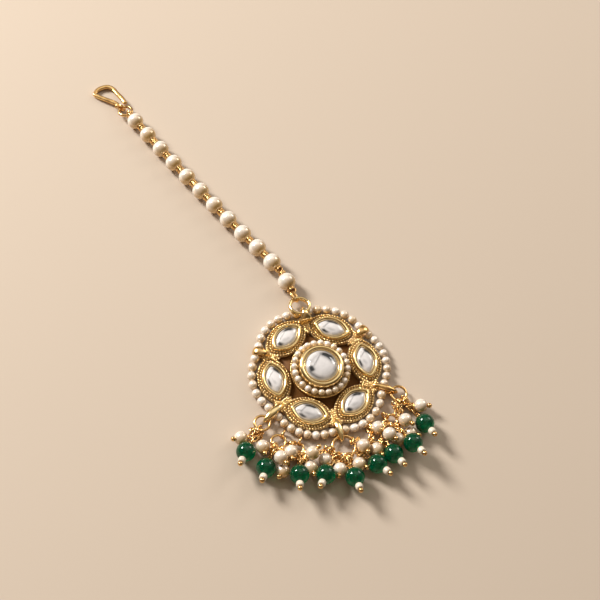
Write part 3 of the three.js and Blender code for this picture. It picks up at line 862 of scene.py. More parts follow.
# Radius and height in mm, and how recessed that place is, as tarnish and painted shade
ROUND_PROFILE = (
    # The back plate's rows, fully recessed, are painted dark as the shade in the gaps between
    # settings.
    (12.7, 0.0, 1.0),
    (12.8, 0.08, 1.0),
    (12.8, 0.45, 1.0),
    (12.7, 0.5, 1.0),
    (7.62, 0.5, 1.0),
    (7.6, 1.2, 1.0),
    (7.6, 1.7, 0.9),
    (7.6, 1.92, 0.6),
    (7.54, 2.06, 0.2),
    (7.4, 2.1, 0.2),
    (7.2, 2.1, 0.5),
    (7.0, 2.12, 0.6),
    (6.2, 2.2, 0.6),
    (5.95, 2.24, 0.2),
    (5.75, 2.2, 0.6),
    (5.72, 2.4, 0.8),
    (5.72, 3.3, 0.3),
    (5.72, 4.0, 0.0),
    (5.68, 4.36, 0.0),
    (5.56, 4.66, 0.0),
    (5.34, 4.88, 0.0),
    (5.04, 5.0, 0.0),
    (4.82, 4.98, 0.0),
    (4.64, 4.88, 0.0),
    (4.54, 4.72, 0.3),
    (4.48, 4.52, 1.0),
    (4.42, 4.5, 1.0),
    (4.38, 4.62, 0.2),
    (4.3, 4.68, 0.0),
    (4.2, 4.64, 0.0),
    (4.14, 4.5, 0.3),
    (4.12, 4.2, 0.8),
    (4.12, 3.6, 1.0),
)


def round_setting():
    """The back plate, the step and the collar of the middle setting, in one turned profile."""
    profile = np.array(ROUND_PROFILE)
    return turned(profile[:, :2] * MM, 120, profile[:, 2])


# Half outline of the plate between two settings: out from the middle and across, in mm
PLATE_OUTLINE = (
    (10.5, 0.35),
    (11.7, 0.75),
    (12.8, 0.9),
    (13.6, 1.3),
    (14.3, 1.9),
    (14.9, 1.8),
    (15.2, 0.9),
)

# Grains on that plate: how far across, and from where to where out from the middle
PLATE_GRAINS = (
    (0.0, 10.8, 15.0),
    (0.5, 11.3, 14.9),
    (1.0, 13.7, 14.8),
    (1.5, 14.3, 14.7),
)
PLATE_GRAIN_STEP = 0.55
PLATE_GRAIN_TOP = 1.44
# Its rows: share of the outline, height in mm and how recessed, as tarnish and painted shade
PLATE_ROWS = ((1.0, 0.1, 1.0), (1.0, 1.2, 0.8), (0.92, 1.34, 0.8))
# The dome on it: half sizes, then place, in mm
DOME_SIZE = (0.9, 0.8, 0.95)
DOME_PLACE = (13.9, 0, 0.95)


def junctions(grain):
    """A grained plate between each pair of settings: one outline raised in three rows."""
    half = np.array(PLATE_OUTLINE) * MM
    other = half[::-1] * [1, -1]
    outline = np.vstack([half, other])
    middle = outline.mean(0)
    rows = []
    for share, height, _ in PLATE_ROWS:
        flat = middle + (outline - middle) * share
        rows.append(np.column_stack([flat, np.full(len(flat), height * MM)]))
    plate = skin(np.stack(rows), np.array(PLATE_ROWS)[:, 2:])
    spots = []
    for across, start, stop in PLATE_GRAINS:
        out = np.arange(start, stop, PLATE_GRAIN_STEP)
        for side in (-1, 1) if across else (1,):
            spots.append(np.column_stack([out, np.full(len(out), across * side)]))
    spots = np.vstack(spots)
    points = np.column_stack([spots, np.full(len(spots), PLATE_GRAIN_TOP)]) * MM
    grains = copies(ball(grain / 2, 3, 6), points)
    dome = placed(ball(1.0, 8, 14), np.diag(DOME_SIZE) * MM, np.array(DOME_PLACE) * MM)
    return all_round(joined([plate, grains, dome]), 30)


def hang_loop(facing, length, half_height, half_width, towards):
    """A leaf-shaped band round an upright oval, at angle t.

    Its width swells as sin^2 t, mixed by |k| with half of 1 + cos t where it is widest at the
    tip, or with that half of 1 - cos t, to the power 1 - 2 k, where it is widest at the settings.
    """
    angle = circle(48)
    half_length = length * LOOP_UNIT / 2
    radius = BOSS_RING + half_length + half_length * np.cos(angle)
    share = abs(towards)
    ends = (0.5 + 0.5 * np.sign(towards) * np.cos(angle)) ** (1 - 2 * min(towards, 0))
    swell = (1 - share) * np.sin(angle) ** 2 + share * ends
    width = LOOP_EDGE + (half_width - LOOP_EDGE) * swell
    thick = LOOP_THIN + LOOP_SWELL * swell
    height = half_height + LOOP_LIFT + half_height * np.sin(angle)
    path = np.stack([radius, 0 * angle, height], -1)
    across = np.array([0, 1.0, 0])
    band = tube(path, thick, width, sides=16, closed=True, reference=across, power=1.1)
    return placed(band, spin_z(facing))


class TIKKA_OT_frame(bpy.types.Operator):
    """Build the gold settings, their grains and the soldered loops"""

    bl_idname = "tikka.frame"
    bl_label = "Gold frame"

    def execute(self, context):
        half_width, grain = sizes().setting_width / 2, sizes().grain
        nodes = ["pendant_frame"]
        add_piece("pointed_settings", all_round(pointed_setting(half_width)), "gold", nodes)
        spots = polar(STEP_RIM, np.arange(0, 360, 360 / STEP_RIM_GRAINS), STEP_RIM_TOP)
        rim = copies(ball(grain * 0.4, 3, 6), spots)
        grains = joined([grain_rows(half_width, grain), junctions(grain), rim])
        add_piece("gold_grains", grains, "gold", nodes)
        add_piece("round_setting", round_setting(), "gold", nodes)
        for kind in ("gold", "wire"):
            loops = joined([hang_loop(*row[:-1]) for row in LOOPS if row[-1] == kind])
            add_piece(f"soldered_loops_{kind}", loops, kind, nodes)
        return {"FINISHED"}


# Stones

STONE_SIDES = 54
STONE_INSET = 2.04 * MM  # from a setting's edge to its stone's
LIGHT_SIDE = 62  # bearing in degrees of the long dark patch, a painted reflection, in the pointed stones
# Share of the outline and height in mm of each row, from the foot to the middle of the table
POINTED_ROWS = (
    (0.96, 1.4),
    (1.0, 1.98),
    (0.94, 2.18),
    (0.85, 2.36),
    (0.74, 2.52),
    (0.64, 2.62),
    (0.56, 2.66),
    (0.48, 2.7),
    (0.4, 2.73),
    (0.32, 2.755),
    (0.24, 2.775),
    (0.16, 2.79),
    (0.08, 2.8),
)
ROUND_ROWS = (
    (0.97, 3.7),
    (1.0, 4.36),
    (0.94, 4.58),
    (0.86, 4.82),
    (0.77, 5.02),
    (0.68, 5.16),
    (0.61, 5.225),
    (0.54, 5.28),
    (0.47, 5.32),
    (0.4, 5.355),
    (0.33, 5.385),
    (0.25, 5.405),
    (0.16, 5.42),
    (0.08, 5.43),
)


def domed_stone(rows, outline):
    """A bevel that rises to a low domed table: the outline drawn in by each row's share."""
    rows = np.array(rows)
    u, v = outline
    share, height = rows[:, :1], rows[:, 1:] * MM
    points = np.stack([u * share, v * share, height + 0 * u], -1)
    top = (0, 0, height[-1, 0] + 0.02 * MM)
    return skin(points, ends=((0, 0, height[0, 0]), top))


def tones(shape, half_length, half_width, patches, crease, seed):
    """Soft painted dark reflections for the stone's points and a slight random tone for each facet.

    In shares of the half length and half width, a point lies at bearing t and share r. A patch
    of painted reflection darkens it by its strength times exp(-((t - middle) / spread)^4 -
    ((r - at) / thick)^2). The crease, a painted dark line from one bearing and share to another,
    darkens by exp(-(distance / 0.05)^2) / 3.
    """

    def split(points):
        x, y = points[:, 0] / half_length, points[:, 1] / half_width
        return np.degrees(np.arctan2(y, x)), np.hypot(x, y)

    start, end = (polar(share, bearing)[:2] for bearing, share in crease)
    flat = shape.points[:, :2] / [half_length, half_width]
    along = np.clip((flat - start) @ (end - start) / ((end - start) @ (end - start)), 0, 1)
    apart = np.linalg.norm(flat - start - along[:, None] * (end - start), axis=1)
    front = shape.points[:, 2] > shape.points[:, 2].min() + 0.1 * MM
    # The crease is a painted dark line.
    shape.value = 0.33 * front * np.exp(-((apart / 0.05) ** 2))
    bearing, share = split(shape.points)
    # Each patch is a painted dark reflection.
    for middle, spread, at, thick, strength in patches:
        turn = (bearing - middle + 180) % 360 - 180
        dark = np.exp(-((turn / spread) ** 4) - ((share - at) / thick) ** 2)
        shape.value = np.maximum(shape.value, strength * dark)
    corners = [shape.points[faces].mean(1) for faces in (shape.quads, shape.triangles)]
    bearing, share = split(np.vstack(corners))
    band = np.digitize(share, (0.66, 0.92))
    sector = (bearing // 20).astype(int) % 18
    return np.random.default_rng(seed).uniform(0, 0.3, (3, 18))[band, np.where(band > 0, sector, 0)]


class TIKKA_OT_stones(bpy.types.Operator):
    """Build the glass stones with their facets"""

    bl_idname = "tikka.stones"
    bl_label = "Glass stones"

    def execute(self, context):
        half_width = sizes().setting_width / 2 - STONE_INSET
        half_length = SETTING_LENGTH / 2 - TIP_STRETCH * STONE_INSET
        outline = pointed_outline(half_length, half_width, circle(STONE_SIDES))
        for i in range(SETTING_COUNT):
            stone = domed_stone(POINTED_ROWS, outline)
            lit = math.radians(LIGHT_SIDE - 60 * i - 90)
            lit = math.degrees(math.atan2(math.sin(lit) / half_width, math.cos(lit) / half_length))
            # Painted dark reflections on this stone, and below a painted dark crease.
            patches = (
                (lit, 34, 0.74, 0.16, 1.0),
                (lit + 148, 22, 0.77, 0.11, 0.75),
                (lit + 180, 60, 0.3, 0.16, 0.15),
            )
            crease = (lit + 112, 0.6), (lit + 24, 0.64)
            facets = tones(stone, half_length, half_width, patches, crease, i)
            shape = placed(stone, spin_z(60 * i + 90), polar(SETTING_RING, 60 * i))
            node = f"marquise_stone_{i + 1}"
            add_piece(f"cut_{node}", shape, "stone", [node], facets=facets)
        angle, radius = circle(STONE_SIDES), CENTRE_STONE_RADIUS
        stone = domed_stone(ROUND_ROWS, (radius * np.cos(angle), radius * np.sin(angle)))
        # Painted dark reflections on the middle stone; its painted crease is given below.
        patches = (
            (42, 40, 0.72, 0.17, 1.0),
            (189, 16, 0.7, 0.13, 0.8),
            (128, 34, 0.68, 0.16, 0.2),
            (225, 40, 0.86, 0.09, 0.42),
            (330, 50, 0.9, 0.08, 0.3),
        )
        facets = tones(stone, radius, radius, patches, ((186, 0.6), (80, 0.74)), 7)
        add_piece("cut_centre_stone", stone, "stone", ["centre_stone"], facets=facets)
        return {"FINISHED"}


# Strung pearls


# Which way the pearls' painted golden shade and reflection faces, and the chain's
PEARL_SHADE = np.array([0.32, -0.87, -0.37])
CHAIN_SHADE = np.array([0.54, -0.81, -0.23])


def tint_and_painted_shading(shape, middles, tints, depth=0.6, towards=PEARL_SHADE):
    """A bead's tint, and up to a depth more to one side: painted shade on pearls, painted glow on
    glass.
    """
    points = shape.points.reshape(len(middles), -1, 3)
    shade = unit(points - np.asarray(middles)[:, None]) @ towards
    shape.value = (np.asarray(tints)[:, None] + depth * (0.5 + 0.5 * shade)).ravel()
    return shape


def pearl_row(path, count, diameter, closed, seed):
    """Pearls an equal step apart along a path, stretched to touch, on a thin thread."""
    points, tangents, step = evenly(path, count, closed)
    rng = np.random.default_rng(seed)
    pearl = ball(0.5, 12, 20)
    turns = aims(tangents)
    across = diameter * rng.uniform(0.95, 1.03, count)
    along = np.full(count, step * 0.995)
    turns = turns * np.stack([across, across, along], -1)[:, None, :]
    # Each pearl's tint, with painted shade towards its shaded side.
    pearls = tint_and_painted_shading(copies(pearl, points, turns), points, rng.uniform(0, 0.35, count))
    thread = tube(path, 0.1 * MM, sides=6, closed=closed, value=0.5)
    return joined([pearls, thread])


class TIKKA_OT_strung_pearls(bpy.types.Operator):
    """Build the pearls round the edge and round the middle stone"""

    bl_idname = "tikka.strung_pearls"
    bl_label = "Strung pearls"

    def execute(self, context):
        edge, centre = sizes().edge_pearl, sizes().centre_pearl
        angle = np.linspace(-EDGE_SPAN, EDGE_SPAN, 60)
        radius = EDGE_RING - EDGE_SCALLOP * (angle / math.radians(30)) ** 2
        for i, (facing, count) in enumerate(EDGE_STRINGS):
            path = polar(radius, np.degrees(angle) + facing, edge / 2)
            shape = pearl_row(path, count, edge, False, 20 + i)
            node = f"edge_pearl_string_{i + 1}"
            add_piece(f"{node}_pearls", shape, "pearl", [node])
        lift = STEP_HEIGHT + centre / 2 + PIECE_GAP
        path = polar(CENTRE_PEARL_RING, np.arange(0, 360, 3), lift)
        shape = pearl_row(path, CENTRE_PEARLS, centre, True, 30)
        add_piece("centre_pearl_ring_pearls", shape, "pearl", ["centre_pearl_ring"])
        return {"FINISHED"}


# Chain

CHAIN_LIFT = 2.05 * MM
END_EYE = 0.62 * MM
SPARE_EYE = 0.47 * MM
CHAIN_EYE = 0.4 * MM
SPARE_RADIUS = 0.7 * MM
TOP_RING_WIRE = 0.8 * MM
EYE_SWELL = 0.36 * MM  # how much wider an eye shows than the CAD's
SHOWN_EYE_WIRE = 0.5 * MM
PIN_SHAFT = 0.14 * MM  # radius of the wire in a pearl's bore
PEARL_BORE = 0.24 * MM
CHAIN_TAPER = 0.0035  # how much each pearl's radius falls, in shares of the first one's size
SPARE_WIRE = 0.3 * MM
FOOT_COIL = (0.9 * MM, 0.38 * MM, 2, 0.32 * MM)  # radius, wire, turns and pitch
FOOT_GAP = 0.2 * MM
END_LINK = (1.5 * MM, 1.02 * MM, 0.42 * MM)  # half length, half width, wire
END_LINK_WIDER = 0.15 * MM
END_LINK_THICKER = 0.34 * MM
END_LINK_LEAN = 48
SPARE_LEAN = 45
TOP_RING_WIDER = 0.05 * MM
TOP_RING_PITCH = 0.66 * MM  # between the two turns of the top ring's wire


def eyes_of(i):
    """Inner radii of the two eyes of the chain's pin i: the near one and the far one."""
    ends = {0: END_EYE, len(CHAIN_LEANS): END_EYE, 1: SPARE_EYE}
    return ends.get(i, CHAIN_EYE), ends.get(i + 1, CHAIN_EYE)


def eye_middle(radius):
    """How far the middle of an eye is from the middle of its pearl."""
    return CHAIN_LIFT + EYE_TO_PEARL + EYE_WIRE / 2 + radius


def chain_stations():
    """Places of the pearls, the spare link, the end link and the last eye, with their leans.

    From the far side of the top ring each one is a step on from the last along its lean.
    """
    spots = {"pearls": []}
    place = polar(TOP_RING_NEAR, 90, CHAIN_LIFT) + polar(2 * TOP_RING_RADIUS, 90 + TOP_RING_SWING)

    def step(distance, lean):
        nonlocal place
        place = place + polar(distance, 90 + lean)
        return place, lean

    half, _, wire = END_LINK
    in_ring = (TOP_RING_WIRE + wire) / 2 + PIECE_GAP
    in_link = (wire + EYE_WIRE) / 2 + PIECE_GAP
    spots["end_link"] = step(half - in_ring, TOP_RING_SWING)
    step(half - in_link + END_EYE, TOP_RING_SWING)
    last = len(CHAIN_LEANS) - 1
    for i, lean in enumerate(CHAIN_LEANS):
        near, far = eyes_of(i)
        spots["pearls"].append(step(eye_middle(near), lean))
        spots["end"] = step(eye_middle(far), lean)
        if i == 0:
            between = (lean + CHAIN_LEANS[1]) / 2
            spots["spare"] = step(SPARE_RADIUS, between)
            step(SPARE_RADIUS, between)
        elif i < last:
            step(CHAIN_EYE, (lean + CHAIN_LEANS[i + 1]) / 2)
    return spots


def eye_pin(near, far, radius):
    """An eye pin along +Y: a flat eye, a wound foot, a shaft, a wound foot and an upright eye."""
    flat = ring(near + EYE_SWELL, SHOWN_EYE_WIRE, 20, 6)
    flat = placed(flat, None, (0, -eye_middle(near), 0))
    upright = ring(far + EYE_SWELL, SHOWN_EYE_WIRE, 20, 6)
    upright = placed(upright, spin_y(90), (0, eye_middle(far), 0))
    ends = near - eye_middle(near), eye_middle(far) - far
    shaft = tube([[0, ends[0], 0], [0, 0, 0], [0, ends[1], 0]], PIN_SHAFT, sides=6)
    foot = coil(*FOOT_COIL, 16, 6)
    feet = [placed(foot, spin_x(90), (0, side * (radius + FOOT_GAP), 0)) for side in (-1, 1)]
    return joined([flat, upright, shaft, *feet])


class TIKKA_OT_chain(bpy.types.Operator):
    """Build the pearl chain, its eye pins, its links and the top jump ring"""

    bl_idname = "tikka.chain"
    bl_label = "Pearl chain"

    def execute(self, context):
        spots = chain_stations()
        rng = np.random.default_rng(3)
        for i, (point, lean) in enumerate(spots["pearls"]):
            number, radius = f"{i + 1:02d}", sizes().chain_pearl * (0.5 - CHAIN_TAPER * i)
            point = np.array([point[0], point[1], radius])
            turn = spin_z(lean) @ spin_y(rng.uniform(0, 360)) @ spin_x(-90)
            pearl = bored_ball(radius, PEARL_BORE, 22, 32)
            shape = placed(pearl, turn, point)
            # Painted golden shade and reflection towards the chain's shaded side.
            shape = tint_and_painted_shading(shape, [point], [rng.uniform(-0.4, -0.2)], 1.6, CHAIN_SHADE)
            node = f"chain_pearl_{number}"
            add_piece(f"{node}_bored", shape, "pearl", [node])
            node = f"chain_eye_pin_{number}"
            shape = placed(eye_pin(*eyes_of(i), radius), spin_z(lean), point)
            add_piece(f"{node}_wire", shape, "wire", [node])
        point, lean = spots["spare"]
        spare = ring(SPARE_RADIUS, SPARE_WIRE, 24, 6)
        shape = placed(spare, spin_z(lean) @ spin_y(SPARE_LEAN), point)
        add_piece("spare_link_wire", shape, "wire", ["spare_link"])
        point, lean = spots["end_link"]
        half_length, half_width, wire = END_LINK
        wire = wire + END_LINK_THICKER
        link = oval_ring(half_width + END_LINK_WIDER, half_length, wire, 28, 8)
        shape = placed(link, spin_z(lean) @ spin_y(END_LINK_LEAN), point)
        add_piece("chain_end_link_wire", shape, "wire", ["chain_end_link"])
        rise = CHAIN_LIFT - TOP_RING_LIFT
        tilt = math.degrees(math.asin(rise / (2 * TOP_RING_RADIUS)))
        point = polar(TOP_RING_NEAR, 90, TOP_RING_LIFT + rise / 2)
        point = point + polar(TOP_RING_RADIUS, 90 + TOP_RING_SWING)
        radius = TOP_RING_RADIUS + TOP_RING_WIDER
        double = coil(radius, TOP_RING_WIRE, 2, TOP_RING_PITCH, 40, 8)
        shape = placed(double, spin_z(TOP_RING_SWING) @ spin_x(tilt), point)
        add_piece("top_jump_ring_wire", shape, "gold", ["top_jump_ring"])
        return {"FINISHED"}


# Hair hook


def smooth_route(points, steps):
    """A curve through the points: on each span, the cubic with half the chords as slopes."""
    points = np.asarray(points, float)
    ahead = np.vstack([2 * points[:1] - points[1:2], points, 2 * points[-1:] - points[-2:-1]])
    slopes = (ahead[2:] - ahead[:-2]) / 2
    t = np.linspace(0, 1, steps, endpoint=False)[:, None]
    start, end = points[:-1, None], points[1:, None]
    out, into = slopes[:-1, None], slopes[1:, None]
    curve = (
        start * (2 * t**3 - 3 * t**2 + 1)
        + out * (t**3 - 2 * t**2 + t)
        + end * (3 * t**2 - 2 * t**3)
        + into * (t**3 - t**2)
    )
    return np.vstack([curve.reshape(-1, points.shape[1]), points[-1:]])


def hook_shape(wire):
    """A flattened wire along the hook's route, +X away from its eye, and the upright eye."""
    route = np.array(HOOK_ROUTE, float)
    points = np.stack(
        [HOOK_EYE_RADIUS + route[:, 0] * HOOK_LENGTH, -route[:, 1] * HOOK_WIDTH, 0 * route[:, 0]],
        -1,
    )
    path = smooth_route(points, 8)
    arm = tube(path, wire / 2, wire / 2 * HOOK_THICKNESS, sides=16, power=0.6)
    eye = placed(ring(HOOK_EYE_RADIUS, HOOK_EYE_WIRE, 32, 10), spin_x(90))
    collar = coil(*HOOK_COLLAR, 18, 6)
    collar = placed(collar, spin_y(90), (HOOK_EYE_RADIUS + HOOK_COLLAR_OUT, 0, 0))
    return joined([arm, eye, collar])


class TIKKA_OT_hook(bpy.types.Operator):
    """Build the hair hook and its ring"""

    bl_idname = "tikka.hook"
    bl_label = "Hair hook"

    def execute(self, context):
        point, lean = chain_stations()["end"]
        seat = spin_z(lean)
        base = np.array([point[0], point[1], 0])
        hook_lift = HOOK_EYE_RADIUS + HOOK_EYE_WIRE / 2
        fall = CHAIN_LIFT - hook_lift
        slope = math.asin(fall / (2 * HOOK_RING_RADIUS))
        span = HOOK_RING_RADIUS * math.cos(slope)
        shape = ring(HOOK_RING_RADIUS, HOOK_RING_WIRE, 36, 10)
        middle = base + seat @ np.array([0, span, CHAIN_LIFT - fall / 2])
        shape = placed(shape, seat @ spin_x(-math.degrees(slope)), middle)
        add_piece("hook_ring_wire", shape, "wire", ["hook_ring"])
        reach = HOOK_EYE_RADIUS + HOOK_LENGTH
        drop = math.degrees(math.atan((hook_lift - HOOK_END_LIFT) / reach))
        turn = seat @ spin_z(90 + HOOK_TURN) @ spin_y(drop)
        middle = base + seat @ np.array([0, 2 * span, hook_lift])
        shape = placed(hook_shape(sizes().hook_wire), turn, middle)
        add_piece("hair_hook_wire", shape, "wire", ["hair_hook"])
        return {"FINISHED"}


# Fringe


def ring_place(facing, hangs_on, across, swing):
    """The middle of a fringe ring, in its loop or on its link at the edge pearls' thread."""
    radius = across / 2
    if hangs_on == "thread":
        return polar(EDGE_RADIUS + THREAD_REACH + radius, facing, RING_LIFT)
    length = next(row[1] for row in LOOPS if row[0] == facing)
    hole = BOSS_RING + length * LOOP_UNIT - LOOP_BAND - LOOP_SLACK
    return polar(hole, facing, RING_LIFT) + polar(radius, facing + swing)


def drop_place(row, ring_facing, bead):
    """A drop's middle, the way its pin points, and its radius."""
    _, kind, along, out, lift, heading = row
    reach = EDGE_RADIUS + out * bead
    facing = ring_facing + math.degrees(along * bead / reach)
    radius = bead / 2 if kind == "green" else sizes().drop_pearl / 2
    droop = math.radians(GREEN_DROOP if kind == "green" else PEARL_DROOP)
    point = polar(reach, facing, radius + lift * bead)
    return point, polar(math.cos(droop), facing + heading, -math.sin(droop)), radius


def pin_parts(radius, has_seed):
    """The gold of a head pin along +Z: an eye, a wound foot, a shaft and a ball head."""
    eye_at = -radius - PIN_STUB - PIN_EYE_GAP
    eye = placed(ring(*PIN_EYE, 18, 6), spin_x(90), (0, 0, eye_at))
    foot = placed(coil(*PIN_FOOT, 14, 5), None, (0, 0, -radius - PIN_FOOT_GAP))
    head_at = radius + (PIECE_GAP + SEED_LENGTH if has_seed else 0)
    path = [[0, 0, eye_at + 0.4 * MM], [0, 0, 0], [0, 0, head_at + 0.3 * MM]]
    shaft = tube(path, PIN_WIRE / 2, sides=6, reference=np.array([1.0, 0, 0]))
    head = placed(ball(PIN_HEAD / 2, 8, 12), None, (0, 0, head_at + PIN_HEAD_GAP))
    return joined([eye, foot, shaft, head])


def link_run(start, end, wire, seed):
    """Oval links from start to end, an equal step apart, each turned a quarter from the last."""
    gap = end - start
    length = np.linalg.norm(gap)
    count = max(1, round(length / LINK_STEP))
    step = length / count
    rng = np.random.default_rng(seed)
    link = placed(oval_ring(step / 2 + LINK_OVERLAP, LINK_WIDTH, wire, 18, 6), spin_y(90))
    turns = np.stack(
        [
            aims(gap)[0] @ spin_z(90 * k + 45 + rng.uniform(-25, 25)) @ spin_x(rng.uniform(-9, 9))
            for k in range(count)
        ]
    )
    points = start + gap * ((np.arange(count) + 0.5) / count)[:, None]
    return copies(link, points, turns)


def clear_of_floor(shape):
    """The shape with points that would sink into the surface laid on it."""
    shape.points[:, 2] = np.maximum(shape.points[:, 2], 0.02 * MM)
    return shape


def cluster_wires(row, drops, bead, seed):
    """Gold of one cluster: its ring, its link, and for each drop a run of links and a pin."""
    _, facing, hangs_on, across, swing = row
    jump, fine = sizes().jump_wire, sizes().link_wire
    rng = np.random.default_rng(seed)
    middle, radius = ring_place(facing, hangs_on, across, swing), across / 2
    parts = [placed(coil(radius, jump, 1, 0.5 * jump, 40, 8), spin_z(facing + 150), middle)]
    if hangs_on == "thread":
        link = placed(oval_ring(*THREAD_LINK, fine * 1.5, 24, 8), spin_x(90))
        at = polar(EDGE_RADIUS + THREAD_LINK_OUT, facing, RING_LIFT)
        parts.append(placed(link, spin_z(facing), at))
    for k, drop in enumerate(drops):
        point, direction, bead_radius = drop_place(drop, facing, bead)
        turn = aims(direction)[0] @ spin_z(rng.uniform(-40, 40))
        parts.append(placed(pin_parts(bead_radius, drop[1] == "green"), turn, point))
        end = point - direction * (bead_radius + PIN_STUB + 0.4 * MM)
        towards = end - middle
        towards[2] = 0
        start = middle + unit(towards) * radius
        parts.append(link_run(start, end, fine, seed * 10 + k))
        upright = math.degrees(math.atan2(towards[1], towards[0]))
        stance = spin_z(upright + rng.uniform(-30, 30)) @ spin_x(90)
        hoop = ring(HOOP_RADIUS, fine, 20, 6)
        parts.append(placed(hoop, stance, start + unit(towards) * HOOP_OUT))
        for share in STRAY_PLACES:
            lean = spin_z(rng.uniform(0, 360)) @ spin_x(rng.uniform(25, 80))
            spot = start + (end - start) * (share + rng.uniform(-0.1, 0.1))
            spot = spot + polar(STRAY_OUT, rng.uniform(0, 360), rng.uniform(-0.2, 0.5) * MM)
            stray = oval_ring(rng.uniform(0.8, 1.1) * MM, STRAY_WIDTH, fine, 18, 6)
            parts.append(placed(stray, lean, spot))
    return clear_of_floor(joined(parts))


def seed_bead():
    """A short barrel along +Z: radius R (1 - 0.26 w^4) at height w from -1 to 1, and a bore."""
    w = np.linspace(-1, 1, 9)
    profile = np.stack([SEED_BEAD / 2 * (1 - 0.26 * w**4), SEED_LENGTH / 2 * w], -1)
    bore = [(SEED_BORE / 2, SEED_LENGTH * 0.46), (SEED_BORE / 2, -SEED_LENGTH * 0.46)]
    return turned(np.vstack([profile, bore]), 20, loop=True)


class TIKKA_OT_fringe(bpy.types.Operator):
    """Build the fringe: rings, links, pins, seed beads, pearls and green beads"""

    bl_idname = "tikka.fringe"
    bl_label = "Fringe"

    def execute(self, context):
        bead = sizes().green_bead
        rng = np.random.default_rng(11)
        green = bored_ball(bead / 2, BEAD_BORE / 2, 26, 36)
        pearl = ball(sizes().drop_pearl / 2, 20, 30)
        seed, green_count = seed_bead(), 0
        for k, row in enumerate(RINGS):
            name, facing = row[:2]
            node = f"drop_cluster_{name}"
            drops = [drop for drop in DROPS if drop[0] == name]
            wires = cluster_wires(row, drops, bead, 40 + k)
            add_piece(f"{node}_wires", wires, "wire", [node])
            pearls, seeds = [], []
            for drop in drops:
                point, direction, radius = drop_place(drop, facing, bead)
                turn = aims(direction)[0]
                if drop[1] == "pearl":
                    shape = placed(pearl, turn, point)
                    # Painted shade on the drop pearl.
                    pearls.append(tint_and_painted_shading(shape, [point], [rng.uniform(0, 0.25)], 0.9))
                    continue
                at = point + direction * (radius + PIECE_GAP + SEED_LENGTH / 2)
                seeds.append(placed(seed, turn, at))
                green_count += 1
                bead_node = f"green_bead_{green_count}"
                shape = placed(green, turn @ spin_z(rng.uniform(0, 360)), point)
                # Painted glow on the side where light would leave the bead.
                shape = tint_and_painted_shading(shape, [point], [0], 1.0)
                add_piece(f"{bead_node}_glass", shape, "green", [bead_node])
            add_piece(f"{node}_pearls", joined(pearls), "pearl", [node])
            add_piece(f"{node}_seed_beads", joined(seeds), "seed", [node])
        return {"FINISHED"}


# Stage

CAMERA_PLACE = (-0.068, -0.0975, 0.2574)
CAMERA_RIGHT = (0.9536, -0.2716, 0.1302)
CAMERA_UP = (0.187, 0.8727, 0.4511)
CAMERA_ANGLE = math.radians(29.96)
MIDDLE = Vector((0.0, 0.02, 0.0))
FLOOR_SIZE = 3.0
# Name, direction, distance, size, power in watts and colour
LIGHTS = (
    ("key_light", (-0.55, 0.62, 0.56), 0.9, 0.28, 12.0, (1.0, 0.97, 0.92)),
    ("edge_light", (0.75, 0.4, 0.5), 0.7, 0.3, 1.1, (1.0, 0.95, 0.88)),
)


def area_light(name, direction, distance, size, power, colour):
    """A disc light that faces the middle of the jewel from a direction."""
    lamp = bpy.data.lights.new(name, "AREA")
    lamp.shape = "DISK"
    lamp.size = size
    lamp.energy = power
    lamp.color = colour
    made = bpy.data.objects.new(name, lamp)
    away = Vector(direction).normalized()
    made.location = MIDDLE + away * distance
    made.rotation_euler = away.to_track_quat("Z", "Y").to_euler()
    bpy.context.scene.collection.objects.link(made)


# Share of the way from the viewer's side to the far side, and the light there
SKY_DEPTH = (
    (0.0, (0.3, 0.22, 0.14)),
    (0.42, (0.34, 0.26, 0.18)),
    (0.56, (0.48, 0.42, 0.35)),
    (0.66, (1.2, 1.13, 1.04)),
    (0.8, (1.35, 1.27, 1.16)),
    (0.9, (0.4, 0.35, 0.3)),
    (1.0, (0.16, 0.13, 0.1)),
)
# Share of the way from left to right, and how much of that light is left there
SKY_WIDTH = ((0.0, 0.3), (0.22, 0.4), (0.36, 1.0), (0.62, 1.0), (0.78, 0.4), (1.0, 0.25))
SKY_STRENGTH = 0.85


def studio_world():
    """Dim on the viewer's side, with one broad soft window of light beyond the jewel.

    Each ramp reads half the dot product of the light's direction with a level one, plus a half.
    """
    world = bpy.data.worlds.new("soft_studio")
    bpy.context.scene.world = world
    sky = NodeTree(world, "Background")

    def ramp_along(direction, stops):
        place = sky.node("ShaderNodeTexCoord", output="Generated")
        settings, sockets = {"operation": "DOT_PRODUCT"}, {0: place, 1: direction}
        along = sky.node("ShaderNodeVectorMath", settings, sockets, "Value")
        return sky.ramp(along + 0.5, stops)

    width = ramp_along((0.433, -0.25, 0), SKY_WIDTH)
    sky.set(Color=ramp_along((0.25, 0.433, 0), SKY_DEPTH), Strength=width * SKY_STRENGTH)


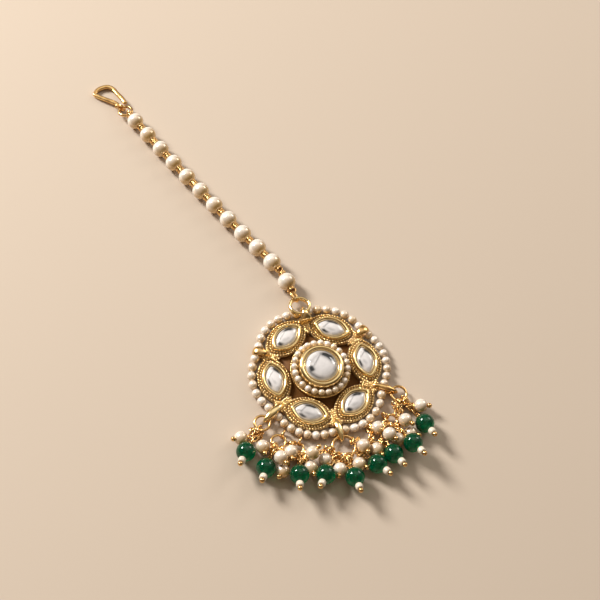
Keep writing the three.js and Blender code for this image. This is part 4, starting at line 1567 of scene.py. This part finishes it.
class TIKKA_OT_stage(bpy.types.Operator):
    """Set up the plain floor, the soft lights and the camera"""

    bl_idname = "tikka.stage"
    bl_label = "Stage"

    def execute(self, context):
        half = FLOOR_SIZE / 2
        corners = [(-half, -half, 0), (half, -half, 0), (half, half, 0), (-half, half, 0)]
        mesh = bpy.data.meshes.new("floor")
        mesh.from_pydata(corners, [], [(0, 1, 2, 3)])
        mesh.materials.append(material("floor"))
        floor = bpy.data.objects.new("floor", mesh)
        context.scene.collection.objects.link(floor)
        for light in LIGHTS:
            area_light(*light)
        studio_world()
        camera = bpy.data.cameras.new("camera")
        camera.sensor_fit = "HORIZONTAL"
        camera.angle = CAMERA_ANGLE
        camera.clip_start = 0.01
        made = bpy.data.objects.new("camera", camera)
        right, up = Vector(CAMERA_RIGHT), Vector(CAMERA_UP)
        turn = Matrix((right, up, right.cross(up))).transposed()
        made.matrix_world = Matrix.Translation(CAMERA_PLACE) @ turn.to_4x4()
        context.scene.collection.objects.link(made)
        context.scene.camera = made
        context.scene.view_settings.view_transform = "Standard"
        return {"FINISHED"}


OPERATORS = (
    TIKKA_OT_stage,
    TIKKA_OT_frame,
    TIKKA_OT_stones,
    TIKKA_OT_strung_pearls,
    TIKKA_OT_chain,
    TIKKA_OT_hook,
    TIKKA_OT_fringe,
)


class TIKKA_PT_panel(bpy.types.Panel):
    bl_label = "Maang tikka"
    bl_idname = "TIKKA_PT_panel"
    bl_space_type = "VIEW_3D"
    bl_region_type = "UI"
    bl_category = "Tikka"

    def draw(self, context):
        layout = self.layout
        for group in (context.scene.tikka_sizes, context.scene.tikka_colours):
            column = layout.column()
            for name in type(group).__annotations__:
                column.prop(group, name)
        for operator in OPERATORS:
            layout.operator(operator.bl_idname)


CLASSES = (TikkaSizes, TikkaColours, *OPERATORS, TIKKA_PT_panel)


def register():
    for item in CLASSES:
        bpy.utils.register_class(item)
    bpy.types.Scene.tikka_sizes = bpy.props.PointerProperty(type=TikkaSizes)
    bpy.types.Scene.tikka_colours = bpy.props.PointerProperty(type=TikkaColours)


def unregister():
    del bpy.types.Scene.tikka_sizes
    del bpy.types.Scene.tikka_colours
    for item in reversed(CLASSES):
        bpy.utils.unregister_class(item)


def main():
    """Registers the classes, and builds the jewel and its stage."""
    register()
    for operator in OPERATORS:
        group, name = operator.bl_idname.split(".")
        getattr(getattr(bpy.ops, group), name)()


if __name__ == "__main__":
    main()
